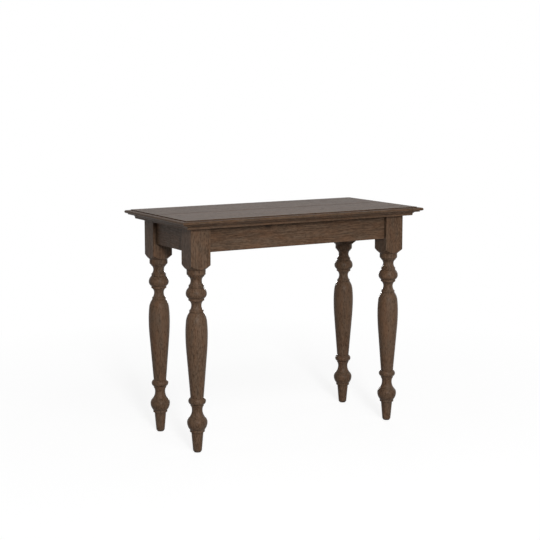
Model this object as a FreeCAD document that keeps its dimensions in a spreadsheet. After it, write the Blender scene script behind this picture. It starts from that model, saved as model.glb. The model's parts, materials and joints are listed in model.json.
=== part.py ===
"""Extending side table on four turned legs, split along its middle.

The front and rear halves each carry two legs, a long apron, two half end aprons and half of the top.
They draw apart on wooden slides, so that a loose leaf can be laid between them.

Frame: origin on the floor under the middle of the table, X along its length, the front is -Y, Z is up.
All sizes are in millimetres.
"""

import FreeCAD, Part
import math
import os
from types import SimpleNamespace

import Sketcher

V = FreeCAD.Vector

SIZES = {
    # the whole table, measured over the nose of the moulded edge
    "top_length": 920.0,
    "top_depth": 448.0,
    "table_height": 760.0,
    "seam_gap": 1.0,
    "seam_chamfer": 0.8,
    # edge of the top board: a small step, a flat ledge, a half-round nose and an undercut
    "board_thickness": 17.0,
    "ledge_width": 16.5,
    "step_depth": 3.0,
    "nose_radius": 5.0,
    "undercut_width": 9.0,
    # cove moulding glued round the underside of the board
    "moulding_thickness": 13.0,
    "moulding_setback": 19.0,
    "moulding_lip": 1.0,
    "moulding_foot": 1.5,
    "cove_width": 8.0,
    "cove_hollow": 2.6,
    # square block at the head of each leg, and the aprons tenoned into it
    "overhang": 50.5,
    "leg_block": 69.0,
    "apron_setback": 11.5,
    "apron_thickness": 20.0,
    "apron_height": 92.5,
    "apron_chamfer": 1.0,
    "tenon_thickness": 8.0,
    "tenon_length": 24.0,
    "tenon_height": 58.0,
    "tenon_shoulder": 12.0,
    "glue_gap": 0.1,
    # turning of the leg, in the order in which it rises from the floor
    "glide_height": 3.0,
    "glide_radius": 11.5,
    "nail_radius": 1.4,
    "nail_length": 15.0,
    "foot_radius": 14.3,
    "foot_round": 3.0,
    "foot_height": 65.0,
    "foot_top_radius": 19.9,
    "ankle_radius": 24.1,
    "ankle_height": 7.0,
    "ball_radius": 33.0,
    "ball_rise": 24.0,
    "ball_turn_radius": 28.0,
    "ball_turn_rise": 13.2,
    "ankle_waist_radius": 17.1,
    "ankle_waist_rise": 27.3,
    "ring_seat_radius": 20.4,
    "ring_seat_rise": 13.4,
    "ring_fillet_radius": 21.3,
    "ring_fillet_height": 4.8,
    "ring_height": 22.3,
    "ring_bulge": 7.1,
    "taper_height": 153.0,
    "taper_top_radius": 33.6,
    "belly_radius": 35.8,
    "belly_rise": 56.0,
    "shoulder_radius": 33.5,
    "shoulder_rise": 42.0,
    "vase_lip_radius": 21.8,
    "vase_lip_rise": 28.2,
    "vase_lip_bulge": 2.2,
    "vase_fillet_radius": 23.0,
    "vase_fillet_height": 5.6,
    "throat_seat_radius": 21.4,
    "throat_radius": 16.3,
    "throat_lower_rise": 16.0,
    "throat_upper_rise": 15.7,
    "throat_top_radius": 23.6,
    "bulb_fillet_radius": 25.4,
    "bulb_fillet_height": 7.0,
    "bulb_radius": 33.6,
    "bulb_lower_rise": 14.6,
    "bulb_upper_rise": 20.4,
    "bulb_top_radius": 23.6,
    "neck_fillet_radius": 24.4,
    "neck_fillet_height": 7.2,
    "neck_seat_radius": 23.2,
    "neck_radius": 18.1,
    "neck_lower_rise": 14.2,
    "neck_upper_rise": 14.0,
    "neck_top_radius": 24.6,
    "collar_fillet_radius": 25.7,
    "collar_fillet_height": 3.3,
    "collar_round_rise": 5.4,
    "collar_radius": 30.4,
    "collar_height": 12.9,
    "cone_run": 18.5,
    "cone_rise": 15.8,
    # corner block behind each leg, drawn tight by a hanger bolt
    "corner_flat": 8.0,
    "corner_block_thickness": 22.0,
    "corner_block_height": 50.0,
    "corner_screw_offset": 24.0,
    "bolt_radius": 4.0,
    "bolt_bury": 35.0,
    "bolt_tail": 13.0,
    "bolt_tip": 6.0,
    "nut_half_width": 6.5,
    "nut_height": 6.5,
    "flange_radius": 9.0,
    "flange_height": 1.5,
    "thread_gap": 0.05,
    # glue block in the middle of each long apron
    "glue_block_length": 160.0,
    "glue_block_width": 22.0,
    # screws that hold the top down, all of one kind
    "screw_radius": 2.5,
    "screw_head_radius": 4.2,
    "screw_head_height": 3.0,
    "screw_grip": 22.0,
    "screw_bite": 10.0,
    "screw_gap": 0.1,
    "counterbore_radius": 4.7,
    # extension slides: front, middle and rear member side by side, tongue in groove
    "slide_corner_gap": 5.0,
    "slide_thickness": 28.0,
    "slide_height": 42.0,
    "slide_gap": 0.5,
    "slide_end_gap": 2.0,
    "slide_relief": 1.0,
    "middle_drop": 3.0,
    "tongue_neck": 10.0,
    "tongue_head": 16.0,
    "tongue_depth": 9.0,
    "groove_clearance": 0.4,
    "stage_travel": 200.0,
    "stop_pin_radius": 2.5,
    "stop_pin_bury": 6.0,
    "stop_pin_reach": 5.0,
    "stop_slot_clearance": 0.5,
    "slide_screw_near": 30.0,
    "slide_screw_far": 110.0,
    # board that ties the two middle members together
    "tie_width": 60.0,
    "tie_thickness": 18.0,
    "tie_screw_spread": 36.0,
    "tie_screw_bite": 14.0,
    # dowels that bring the two tops level at the seam
    "dowel_radius": 4.0,
    "dowel_depth": 18.0,
    "dowel_gap": 0.1,
    "dowel_lock_distance": 60.0,
    "dowel_end_distance": 110.0,
    # swinging locks under the seam
    "lock_slide_gap": 34.0,
    "lock_pivot_y": 22.0,
    "lock_stud_y": 12.0,
    "lock_plate_side": 38.0,
    "lock_plate_thickness": 2.0,
    "lock_pivot_radius": 4.0,
    "lock_pivot_gap": 0.05,
    "lock_rivet_radius": 7.0,
    "lock_rivet_height": 2.0,
    "lock_play": 0.3,
    "lever_thickness": 4.0,
    "lever_half_width": 10.0,
    "lever_tail": 26.0,
    "lever_finger": 12.0,
    "stud_radius": 3.0,
    "stud_play": 1.2,
    "keeper_inner": 8.0,
    "keeper_outer": 19.0,
    "keeper_depth": 26.0,
    "keeper_screw_x": 13.5,
    "keeper_screw_spread": 14.0,
    "lock_screw_offset": 14.0,
    "lock_screw_radius": 1.75,
    "lock_screw_bite": 11.0,
    "lock_screw_head_radius": 3.4,
    "lock_screw_head_height": 1.8,
}

# how far a cutting shape runs past the wood that it cuts
PAST = 6.0
# side of the travel direction on which an arc swells
LEFT = 1.0
RIGHT = -1.0
# left and right, front and rear, as signs along X and Y
SIDES = {"left": -1, "right": 1}
HALVES = {"front": -1, "rear": 1}


class Size:
    """A length that knows its number and the sheet expression that it is worked out from."""

    def __init__(self, value, text):
        self.value = value
        self.text = text

    def __add__(self, other):
        return Size(self.value + number(other), f"({self.text} + {wording(other)})")

    def __sub__(self, other):
        return Size(self.value - number(other), f"({self.text} - {wording(other)})")

    def __mul__(self, other):
        return Size(self.value * number(other), f"({self.text} * {wording(other)})")

    def __truediv__(self, other):
        return Size(self.value / number(other), f"({self.text} / {wording(other)})")

    def __neg__(self):
        return Size(-self.value, f"(0 - {self.text})")

    def __rsub__(self, other):
        return Size(number(other) - self.value, f"({wording(other)} - {self.text})")

    __radd__ = __add__
    __rmul__ = __mul__


def number(size):
    return size.value if isinstance(size, Size) else float(size)


def wording(size):
    return size.text if isinstance(size, Size) else repr(float(size))


doc = FreeCAD.newDocument("extending_table")
sheet = doc.addObject("Spreadsheet::Sheet", "sizes")
for row, (alias, value) in enumerate(SIZES.items(), start=1):
    sheet.set(f"A{row}", alias)
    sheet.set(f"B{row}", str(value))
    sheet.setAlias(f"B{row}", alias)
doc.recompute()
s = SimpleNamespace(**{alias: Size(value, f"sizes.{alias}") for alias, value in SIZES.items()})
nodes = {}


# Drawing helpers: every corner, radius and length is tied to the sheet.

def bind(thing, name, size):
    """Tie a property, or one part of it, to the sheet."""
    if isinstance(size, Size):
        thing.setExpression(name, size.text)


def new_body(name, is_node=True):
    body = doc.addObject("PartDesign::Body", name)
    body.AllowCompound = True
    if is_node:
        nodes[name] = body
    return body


def new_group(name, members):
    """Several loose pieces of one kind, kept together as one named node."""
    group = doc.addObject("Part::Compound", name)
    group.Links = members
    nodes[name] = group
    return group


def sketch_on(body, plane, offset=0.0, turn=0.0):
    """A sketch on one of the body's origin planes, moved along its normal and turned about its upright."""
    sketch = body.newObject("Sketcher::SketchObject", f"{body.Name}_sketch")
    origin_plane = next(f for f in body.Origin.OriginFeatures if f.Role == f"{plane}_Plane")
    sketch.AttachmentSupport = [(origin_plane, "")]
    sketch.MapMode = "FlatFace"
    sketch.AttachmentOffset = FreeCAD.Placement(
        V(0, 0, number(offset)), FreeCAD.Rotation(V(0, 1, 0), turn))
    bind(sketch, "AttachmentOffset.Base.z", offset)
    return sketch


def constrain(sketch, wanted):
    """Add constraints given as (kind, elements, size) and tie the sizes to the sheet."""
    made = [Sketcher.Constraint(kind, *elements, number(size)) for kind, elements, size in wanted]
    indices = sketch.addConstraint(made)
    for index, (kind, elements, size) in zip(indices, wanted):
        bind(sketch, f"Constraints[{index}]", size)


def arc_between(start, end, radius, side):
    """The shorter arc from start to end that swells to the given side of the way along it."""
    a = V(number(start[0]), number(start[1]), 0)
    b = V(number(end[0]), number(end[1]), 0)
    chord = b - a
    half = chord.Length / 2
    across = V(-chord.y, chord.x, 0).normalize()
    reach = math.sqrt(max(0.0, number(radius) ** 2 - half ** 2))
    centre = (a + b) * 0.5 - across * (side * reach)
    first, last = (a, b) if side == RIGHT else (b, a)
    begin = math.atan2(first.y - centre.y, first.x - centre.x)
    finish = math.atan2(last.y - centre.y, last.x - centre.x)
    if finish < begin:
        finish += 2 * math.pi
    return Part.ArcOfCircle(Part.Circle(centre, V(0, 0, 1), number(radius)), begin, finish)


def outline(sketch, corners):
    """Draw a closed outline; a corner is (x, y), or (x, y, radius, side) where an arc leads to it."""
    first = sketch.GeometryCount
    count = len(corners)
    shapes = []
    ends = []
    wanted = []
    for index, corner in enumerate(corners):
        start = corners[index - 1]
        if len(corner) == 4:
            shapes.append(arc_between(start, corner, corner[2], corner[3]))
            ends.append((1, 2) if corner[3] == RIGHT else (2, 1))
            wanted.append(("Radius", (first + index,), corner[2]))
        else:
            shapes.append(Part.LineSegment(
                V(number(start[0]), number(start[1]), 0), V(number(corner[0]), number(corner[1]), 0)))
            ends.append((1, 2))
        wanted.append(("DistanceX", (-1, 1, first + index, ends[index][1]), corner[0]))
        wanted.append(("DistanceY", (-1, 1, first + index, ends[index][1]), corner[1]))
    sketch.addGeometry(shapes, False)
    sketch.addConstraint([
        Sketcher.Constraint("Coincident", first + index - 1 if index else first + count - 1,
                            ends[index - 1][1], first + index, ends[index][0])
        for index in range(count)])
    constrain(sketch, wanted)


def rectangle(sketch, x_from, x_to, y_from, y_to):
    outline(sketch, [(x_from, y_from), (x_to, y_from), (x_to, y_to), (x_from, y_to)])


def circles(sketch, centres, radius):
    for x, y in centres:
        index = sketch.addGeometry(Part.Circle(V(number(x), number(y), 0), V(0, 0, 1), number(radius)), False)
        constrain(sketch, [("DistanceX", (-1, 1, index, 3), x),
                           ("DistanceY", (-1, 1, index, 3), y),
                           ("Radius", (index,), radius)])


def feature(kind, body, sketch):
    made = body.newObject(f"PartDesign::{kind}", f"{body.Name}_{kind.lower()}")
    made.Profile = sketch
    body.Tip = made
    return made


def pad(body, sketch, length, both=False, back=False):
    """Grow the sketch along its normal, backwards, or half to each side."""
    made = feature("Pad", body, sketch)
    made.Length = number(length)
    bind(made, "Length", length)
    made.SideType = "Symmetric" if both else "One side"
    made.Reversed = back
    return made


def cut(body, sketch, length=None, both=False, along=False):
    """Cut the sketch against its normal, along it, or to both sides; with no length, right through."""
    made = feature("Pocket", body, sketch)
    if length is None:
        made.Type = "ThroughAll"
    else:
        made.Length = number(length)
        bind(made, "Length", length)
    made.SideType = "Symmetric" if both else "One side"
    made.Reversed = along
    return made


def revolve(kind, body, sketch):
    made = feature(kind, body, sketch)
    made.ReferenceAxis = (sketch, ["V_Axis"])
    made.Angle = 360.0
    return made


def place(body, x, y, z, rotation=FreeCAD.Rotation()):
    body.Placement = FreeCAD.Placement(V(number(x), number(y), number(z)), rotation)
    bind(body, "Placement.Base.x", x)
    bind(body, "Placement.Base.y", y)
    bind(body, "Placement.Base.z", z)


# Where things stand, worked out once from the sizes.

half_length = s.top_length / 2
half_depth = s.top_depth / 2
seam = s.seam_gap / 2
board_under = s.table_height - s.board_thickness
moulding_under = board_under - s.moulding_thickness
leg_x = half_length - s.overhang - s.leg_block / 2
leg_y = half_depth - s.overhang - s.leg_block / 2
apron_face = s.overhang + s.apron_setback
apron_back = apron_face + s.apron_thickness
apron_under = board_under - s.apron_height
tenon_under = apron_under + s.tenon_shoulder
apron_middle = apron_face + s.apron_thickness / 2
block_under = board_under - s.corner_block_height
bolt_level = board_under - s.corner_block_height / 2
screw_head_level = board_under - s.screw_grip
corner_seat = s.leg_block - s.corner_flat
seat_reach = corner_seat / math.sqrt(2)
apron_line = s.apron_setback + s.apron_thickness - s.leg_block / 2
corner_near = corner_seat - apron_line
corner_far = corner_near + s.corner_block_thickness * math.sqrt(2)
corner_middle = (corner_seat + s.corner_block_thickness / math.sqrt(2)) / 2
corner_screw_along = corner_middle + s.corner_screw_offset
corner_screw_in = corner_middle - s.corner_screw_offset
slide_length = (half_depth - apron_back - s.slide_end_gap) * 2
slide_under = board_under - s.slide_height
tongue_level = board_under - s.slide_height / 2
slide_pitch = s.slide_thickness + s.slide_gap
rear_inner = leg_x - corner_far - s.slide_corner_gap - s.slide_thickness
middle_inner = rear_inner - slide_pitch
front_inner = middle_inner - slide_pitch
groove_depth = s.tongue_depth + s.groove_clearance
stop_slot_depth = s.stop_pin_reach + s.stop_slot_clearance
stop_pin_y = s.stage_travel / 2
front_screw_x = front_inner + s.slide_thickness / 2
rear_screw_x = rear_inner + (groove_depth + stop_slot_depth + s.slide_thickness) / 2
tie_top = slide_under - s.middle_drop
tie_screw_x = middle_inner + (groove_depth + stop_slot_depth + s.slide_thickness) / 2
lock_plate_under = board_under - s.lock_plate_thickness
lever_top = lock_plate_under - s.lock_play
lever_under = lever_top - s.lever_thickness
lock_reach = s.lock_pivot_y + s.lock_stud_y
lock_x = front_inner - s.lock_slide_gap - s.lever_tail
inner_dowel_x = lock_x - s.dowel_lock_distance
outer_dowel_x = half_length - s.dowel_end_distance


def board_edge(reach):
    """Edge of the top board from its flat surface down to its underside, reach being the nose."""
    ledge = s.table_height - s.step_depth
    return [
        (reach - s.ledge_width, s.table_height),
        (reach - s.ledge_width, ledge),
        (reach - s.nose_radius, ledge),
        (reach, ledge - s.nose_radius, s.nose_radius, LEFT),
        (reach - s.nose_radius, ledge - s.nose_radius * 2, s.nose_radius, LEFT),
        (reach - s.undercut_width, ledge - s.nose_radius * 2),
        (reach - s.undercut_width, board_under),
    ]


def mirrored(corners, sign):
    """The same outline on the other side of the upright axis when the sign is negative."""
    flipped = []
    for corner in corners:
        if len(corner) == 4:
            flipped.append((corner[0] * sign, corner[1], corner[2], corner[3] * sign))
        else:
            flipped.append((corner[0] * sign, corner[1]))
    return flipped


def top_screw_points(half):
    """Plan positions of the screws that come up into one half of the top."""
    sign = HALVES[half]
    slide_x = front_screw_x if half == "front" else rear_screw_x
    points = []
    for side in SIDES.values():
        points.append((slide_x * side, s.slide_screw_near * sign))
        points.append((slide_x * side, s.slide_screw_far * sign))
        points.append(((leg_x - corner_screw_along) * side, (leg_y - corner_screw_in) * sign))
        points.append((s.glue_block_length * 0.35 * side,
                       (half_depth - apron_back - s.glue_block_width / 2) * sign))
    return points


def lock_screw_points(half):
    """Plan positions of the screws of the lock plates or of the keepers."""
    points = []
    for side in SIDES.values():
        for way in (-1, 1):
            if half == "front":
                points.append(((lock_x + s.lock_screw_offset * way) * side,
                               s.lock_screw_offset * way - s.lock_pivot_y))
            else:
                points.append(((lock_x + s.keeper_screw_x) * side,
                               seam + s.keeper_depth / 2 + s.keeper_screw_spread / 2 * way))
    return points


def dowel_points():
    """Places of the dowels along the seam, seen from the front."""
    level = s.table_height - s.board_thickness / 2
    return [(x * side, level) for x in (inner_dowel_x, outer_dowel_x) for side in SIDES.values()]


# Top boards and the cove mouldings under their edges.

def make_top(half):
    sign = HALVES[half]
    body = new_body(f"{half}_top")
    run = sketch_on(body, "YZ")
    outline(run, mirrored([(seam + s.seam_chamfer, s.table_height)]
                          + board_edge(half_depth)
                          + [(seam, board_under), (seam, s.table_height - s.seam_chamfer)], sign))
    pad(body, run, s.top_length + 2 * PAST, both=True)
    for side in SIDES.values():
        end = sketch_on(body, "XZ")
        waste = [(half_length + 2 * PAST, board_under - PAST),
                 (half_length + 2 * PAST, s.table_height + PAST),
                 (half_length - s.ledge_width, s.table_height + PAST)]
        edge = board_edge(half_length)[1:-1]
        outline(end, mirrored(edge + [(half_length - s.undercut_width, board_under - PAST)] + waste, side))
        cut(body, end, both=True)
    sockets = sketch_on(body, "XZ")
    circles(sockets, dowel_points(), s.dowel_radius + s.dowel_gap)
    cut(body, sockets, (seam + s.dowel_depth + s.screw_gap) * 2, both=True)
    pilots = sketch_on(body, "XY", board_under)
    circles(pilots, top_screw_points(half), s.screw_radius + s.screw_gap)
    cut(body, pilots, s.screw_bite + s.screw_gap, along=True)
    small_pilots = sketch_on(body, "XY", board_under)
    circles(small_pilots, lock_screw_points(half), s.lock_screw_radius + s.screw_gap)
    cut(body, small_pilots, s.lock_screw_bite + s.screw_gap, along=True)


def moulding_section(reach):
    """Section of the cove moulding, reach being the nose of the board above it."""
    outer = reach - s.moulding_setback
    rise = s.moulding_thickness - s.moulding_lip - s.moulding_foot
    chord_squared = rise * rise + s.cove_width * s.cove_width
    cove_radius = chord_squared / (s.cove_hollow * 8) + s.cove_hollow / 2
    return [
        (reach - s.overhang, board_under),
        (outer, board_under),
        (outer, board_under - s.moulding_lip),
        (outer - s.cove_width, moulding_under + s.moulding_foot, cove_radius, RIGHT),
        (outer - s.cove_width, moulding_under),
        (reach - s.overhang, moulding_under),
    ]


def mitre_waste(side, sign, from_end):
    """Triangle beyond the mitre line at one corner of the top, on the end or on the long side of it."""
    outer_x = half_length - s.moulding_setback
    outer_y = half_depth - s.moulding_setback
    deep = s.overhang - s.moulding_setback + PAST
    far = ((outer_x + PAST) * side, (outer_y + PAST) * sign)
    near = ((outer_x - deep) * side, (outer_y - deep) * sign)
    if from_end:
        third = ((outer_x + PAST) * side, (outer_y - deep) * sign)
    else:
        third = ((outer_x - deep) * side, (outer_y + PAST) * sign)
    return [far, near, third]


def make_long_moulding(half):
    sign = HALVES[half]
    body = new_body(f"{half}_edge_moulding")
    section = sketch_on(body, "YZ")
    outline(section, mirrored(moulding_section(half_depth), sign))
    pad(body, section, (half_length - s.moulding_setback + PAST / 2) * 2, both=True)
    for side in SIDES.values():
        mitre = sketch_on(body, "XY")
        outline(mitre, mitre_waste(side, sign, from_end=True))
        cut(body, mitre, both=True)


def make_end_moulding(half, hand):
    sign = HALVES[half]
    side = SIDES[hand]
    body = new_body(f"{half}_{hand}_edge_moulding")
    section = sketch_on(body, "XZ", seam * -sign)
    outline(section, mirrored(moulding_section(half_length), side))
    pad(body, section, half_depth - s.moulding_setback + PAST / 2 - seam, back=sign > 0)
    mitre = sketch_on(body, "XY")
    outline(mitre, mitre_waste(side, sign, from_end=False))
    cut(body, mitre, both=True)


# Legs: the turning, then the square block with its turned shoulder, mortises and bolt hole.

class Turning:
    """Half outline of a turned piece, drawn upward from its lower end."""

    def __init__(self, level, radius, rounding):
        self.level = level + rounding
        self.radius = radius
        self.corners = [(0.0, level), (radius - rounding, level), (radius, self.level, rounding, RIGHT)]

    def go(self, rise, radius, *arc):
        self.level = self.level + rise
        self.radius = radius
        self.corners.append((self.radius, self.level, *arc))

    def step(self, radius):
        """A square ledge."""
        self.radius = radius
        self.corners.append((radius, self.level))

    def straight(self, rise, radius):
        """A cylinder or a plain taper."""
        self.go(rise, radius)

    def curve(self, rise, radius, side):
        """An arc that stands upright at its crest or waist, where the next curve takes over."""
        grows = number(radius) > number(self.radius)
        change = radius - self.radius if grows else self.radius - radius
        self.go(rise, radius, (rise * rise + change * change) / (change * 2), side)

    def bulge(self, rise, radius, bulge):
        """An arc that swells by a given amount over its chord."""
        change = self.radius - radius
        chord_squared = rise * rise + change * change
        self.go(rise, radius, chord_squared / (bulge * 8) + bulge / 2, RIGHT)


def leg_turning():
    turning = Turning(s.glide_height, s.foot_radius, s.foot_round)
    turning.straight(s.foot_height - s.foot_round, s.foot_top_radius)
    turning.step(s.ankle_radius)
    turning.straight(s.ankle_height, s.ankle_radius)
    turning.curve(s.ball_rise, s.ball_radius, RIGHT)
    turning.curve(s.ball_turn_rise, s.ball_turn_radius, RIGHT)
    turning.curve(s.ankle_waist_rise, s.ankle_waist_radius, LEFT)
    turning.curve(s.ring_seat_rise, s.ring_seat_radius, LEFT)
    turning.step(s.ring_fillet_radius)
    turning.straight(s.ring_fillet_height, s.ring_fillet_radius)
    turning.bulge(s.ring_height, s.ring_fillet_radius, s.ring_bulge)
    turning.straight(s.taper_height, s.taper_top_radius)
    turning.curve(s.belly_rise, s.belly_radius, RIGHT)
    turning.curve(s.shoulder_rise, s.shoulder_radius, RIGHT)
    turning.bulge(s.vase_lip_rise, s.vase_lip_radius, s.vase_lip_bulge)
    turning.step(s.vase_fillet_radius)
    turning.straight(s.vase_fillet_height, s.vase_fillet_radius)
    turning.step(s.throat_seat_radius)
    turning.curve(s.throat_lower_rise, s.throat_radius, LEFT)
    turning.curve(s.throat_upper_rise, s.throat_top_radius, LEFT)
    turning.step(s.bulb_fillet_radius)
    turning.straight(s.bulb_fillet_height, s.bulb_fillet_radius)
    turning.curve(s.bulb_lower_rise, s.bulb_radius, RIGHT)
    turning.curve(s.bulb_upper_rise, s.bulb_top_radius, RIGHT)
    turning.step(s.neck_fillet_radius)
    turning.straight(s.neck_fillet_height, s.neck_fillet_radius)
    turning.step(s.neck_seat_radius)
    turning.curve(s.neck_lower_rise, s.neck_radius, LEFT)
    turning.curve(s.neck_upper_rise, s.neck_top_radius, LEFT)
    turning.step(s.collar_fillet_radius)
    turning.straight(s.collar_fillet_height, s.collar_fillet_radius)
    turning.curve(s.collar_round_rise, s.collar_radius, RIGHT)
    turning.straight(s.collar_height, s.collar_radius)
    turning.step(0.0)
    return turning


def place_at_corner(body, hand, half, level=0.0):
    """Stand a piece on a leg axis with its own +X and +Y towards the inside of the frame."""
    side = SIDES[hand]
    sign = HALVES[half]
    quarter_turns = {(-1, -1): 0, (1, -1): 1, (1, 1): 2, (-1, 1): 3}[(side, sign)]
    place(body, leg_x * side, leg_y * sign, level, FreeCAD.Rotation(V(0, 0, 1), 90 * quarter_turns))


def make_leg(half, hand):
    body = new_body(f"{half}_{hand}_leg")
    turning = leg_turning()
    profile = sketch_on(body, "XZ")
    outline(profile, turning.corners)
    revolve("Revolution", body, profile)
    head = sketch_on(body, "XY", turning.level)
    half_block = s.leg_block / 2
    rectangle(head, -half_block, half_block, -half_block, half_block)
    pad(body, head, board_under - turning.level)
    shoulder = sketch_on(body, "XZ")
    outline(shoulder, [(s.collar_radius, turning.level),
                       (s.collar_radius + s.cone_run * 1.5, turning.level),
                       (s.collar_radius + s.cone_run * 1.5, turning.level + s.cone_rise * 1.5)])
    revolve("Groove", body, shoulder)
    mortises = sketch_on(body, "XY", tenon_under - s.glue_gap)
    middle = s.apron_setback + s.apron_thickness / 2 - half_block
    low = middle - s.tenon_thickness / 2 - s.glue_gap
    high = middle + s.tenon_thickness / 2 + s.glue_gap
    bottom = half_block - s.tenon_length - s.glue_gap
    rectangle(mortises, bottom, half_block + PAST, low, high)
    rectangle(mortises, low, high, bottom, half_block + PAST)
    cut(body, mortises, s.tenon_height + s.glue_gap * 2, along=True)
    flat = sketch_on(body, "XY", block_under)
    outline(flat, [(corner_seat - half_block - PAST, half_block + PAST),
                   (half_block + PAST, corner_seat - half_block - PAST),
                   (half_block + PAST, half_block + PAST)])
    cut(body, flat, s.corner_block_height + PAST, along=True)
    bolt_hole = sketch_on(body, "XZ", turn=135)
    circles(bolt_hole, [(0.0, bolt_level)], s.bolt_radius + s.thread_gap)
    cut(body, bolt_hole, s.leg_block, along=True)
    nail_hole = sketch_on(body, "XY")
    circles(nail_hole, [(0.0, 0.0)], s.nail_radius + s.thread_gap)
    cut(body, nail_hole, s.glide_height + s.nail_length + s.thread_gap, along=True)
    place_at_corner(body, hand, half)


def make_glides(half):
    glides = []
    for hand in SIDES:
        body = new_body(f"{half}_{hand}_glide", is_node=False)
        profile = sketch_on(body, "XZ")
        edge = s.glide_height / 3
        outline(profile, [(0.0, 0.0), (s.glide_radius - edge, 0.0), (s.glide_radius, edge),
                          (s.glide_radius, s.glide_height), (s.nail_radius, s.glide_height),
                          (s.nail_radius, s.glide_height + s.nail_length - s.nail_radius),
                          (0.0, s.glide_height + s.nail_length)])
        revolve("Revolution", body, profile)
        place_at_corner(body, hand, half)
        glides.append(body)
    new_group(f"{half}_foot_glides", glides)


# Aprons, corner blocks, hanger bolts and glue blocks.

def apron_section(reach):
    face = reach - apron_face
    back = reach - apron_back
    return [(face, board_under), (face, apron_under + s.apron_chamfer), (face - s.apron_chamfer, apron_under),
            (back + s.apron_chamfer, apron_under), (back, apron_under + s.apron_chamfer), (back, board_under)]


def tenon_section(reach):
    middle = reach - apron_middle
    thin = s.tenon_thickness / 2
    top = tenon_under + s.tenon_height
    return [(middle - thin, tenon_under), (middle + thin, tenon_under),
            (middle + thin, top), (middle - thin, top)]


def make_long_apron(half):
    sign = HALVES[half]
    body = new_body(f"{half}_apron")
    between_legs = leg_x - s.leg_block / 2
    section = sketch_on(body, "YZ")
    outline(section, mirrored(apron_section(half_depth), sign))
    pad(body, section, between_legs * 2, both=True)
    tenon = sketch_on(body, "YZ")
    outline(tenon, mirrored(tenon_section(half_depth), sign))
    pad(body, tenon, (between_legs + s.tenon_length) * 2, both=True)


def make_end_apron(half, hand):
    sign = HALVES[half]
    side = SIDES[hand]
    body = new_body(f"{half}_{hand}_end_apron")
    to_leg = leg_y - s.leg_block / 2 - seam
    section = sketch_on(body, "XZ", seam * -sign)
    outline(section, mirrored(apron_section(half_length), side))
    pad(body, section, to_leg, back=sign > 0)
    tenon = sketch_on(body, "XZ", (seam + to_leg / 2) * -sign)
    outline(tenon, mirrored(tenon_section(half_length), side))
    pad(body, tenon, to_leg / 2 + s.tenon_length, back=sign > 0)
    eased = sketch_on(body, "XY")
    face = half_length - apron_face
    outline(eased, [((face - s.seam_chamfer - PAST) * side, (seam - PAST) * sign),
                    ((face + PAST) * side, (seam + s.seam_chamfer + PAST) * sign),
                    ((face + PAST) * side, (seam - PAST) * sign)])
    cut(body, eased, both=True)


def make_corner_block(half, hand):
    """Block across a corner: its ends bear on the two aprons, its outer face on the flat of the leg."""
    body = new_body(f"{half}_{hand}_corner_block")
    plan = sketch_on(body, "XY", block_under)
    outline(plan, [(corner_near, apron_line), (corner_far, apron_line),
                   (apron_line, corner_far), (apron_line, corner_near)])
    pad(body, plan, s.corner_block_height)
    bolt_hole = sketch_on(body, "XZ", turn=135)
    circles(bolt_hole, [(0.0, bolt_level)], s.bolt_radius + s.thread_gap)
    cut(body, bolt_hole, s.leg_block * 2, along=True)
    point = corner_screw_local(half, hand)
    shank = sketch_on(body, "XY", block_under)
    circles(shank, [point], s.screw_radius + s.screw_gap)
    cut(body, shank, s.corner_block_height + PAST, along=True)
    counterbore = sketch_on(body, "XY", block_under)
    circles(counterbore, [point], s.counterbore_radius)
    cut(body, counterbore, s.corner_block_height - s.screw_grip, along=True)
    place_at_corner(body, hand, half)


def corner_screw_local(half, hand):
    """Place of the top screw in the corner block's own frame, which is turned from corner to corner."""
    if (half == "front") == (hand == "left"):
        return (corner_screw_along, corner_screw_in)
    return (corner_screw_in, corner_screw_along)


def aim_at_middle(body, half, hand, reach):
    """Lay a piece that was made upright along the diagonal of a corner, pointing to the middle."""
    side = SIDES[hand]
    sign = HALVES[half]
    step = reach / math.sqrt(2)
    place(body, (leg_x - step) * side, (leg_y - step) * sign, bolt_level,
          FreeCAD.Rotation(V(0, 0, 1), V(-side, -sign, 0)))


def make_hanger_bolts(half):
    bolts = []
    nuts = []
    length = s.bolt_bury + s.corner_block_thickness + s.bolt_tail
    corner_radius = s.nut_half_width * 2 / math.sqrt(3)
    for hand in SIDES:
        bolt = new_body(f"{half}_{hand}_bolt", is_node=False)
        profile = sketch_on(bolt, "XZ")
        blunt = s.bolt_radius / 4
        outline(profile, [(0.0, 0.0), (s.bolt_radius, s.bolt_tip), (s.bolt_radius, length - blunt),
                          (s.bolt_radius - blunt, length), (0.0, length)])
        revolve("Revolution", bolt, profile)
        aim_at_middle(bolt, half, hand, seat_reach - s.bolt_bury)
        bolts.append(bolt)
        nut = new_body(f"{half}_{hand}_nut", is_node=False)
        flange = sketch_on(nut, "XY")
        circles(flange, [(0.0, 0.0)], s.flange_radius)
        pad(nut, flange, s.flange_height)
        hexagon = sketch_on(nut, "XY")
        outline(hexagon, [(corner_radius * math.cos(math.radians(60 * k)),
                           corner_radius * math.sin(math.radians(60 * k))) for k in range(6)])
        pad(nut, hexagon, s.nut_height)
        bore = sketch_on(nut, "XY")
        circles(bore, [(0.0, 0.0)], s.bolt_radius + s.thread_gap)
        cut(nut, bore, both=True)
        aim_at_middle(nut, half, hand, seat_reach + s.corner_block_thickness)
        nuts.append(nut)
    new_group(f"{half}_hanger_bolts", bolts)
    new_group(f"{half}_hanger_nuts", nuts)


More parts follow.
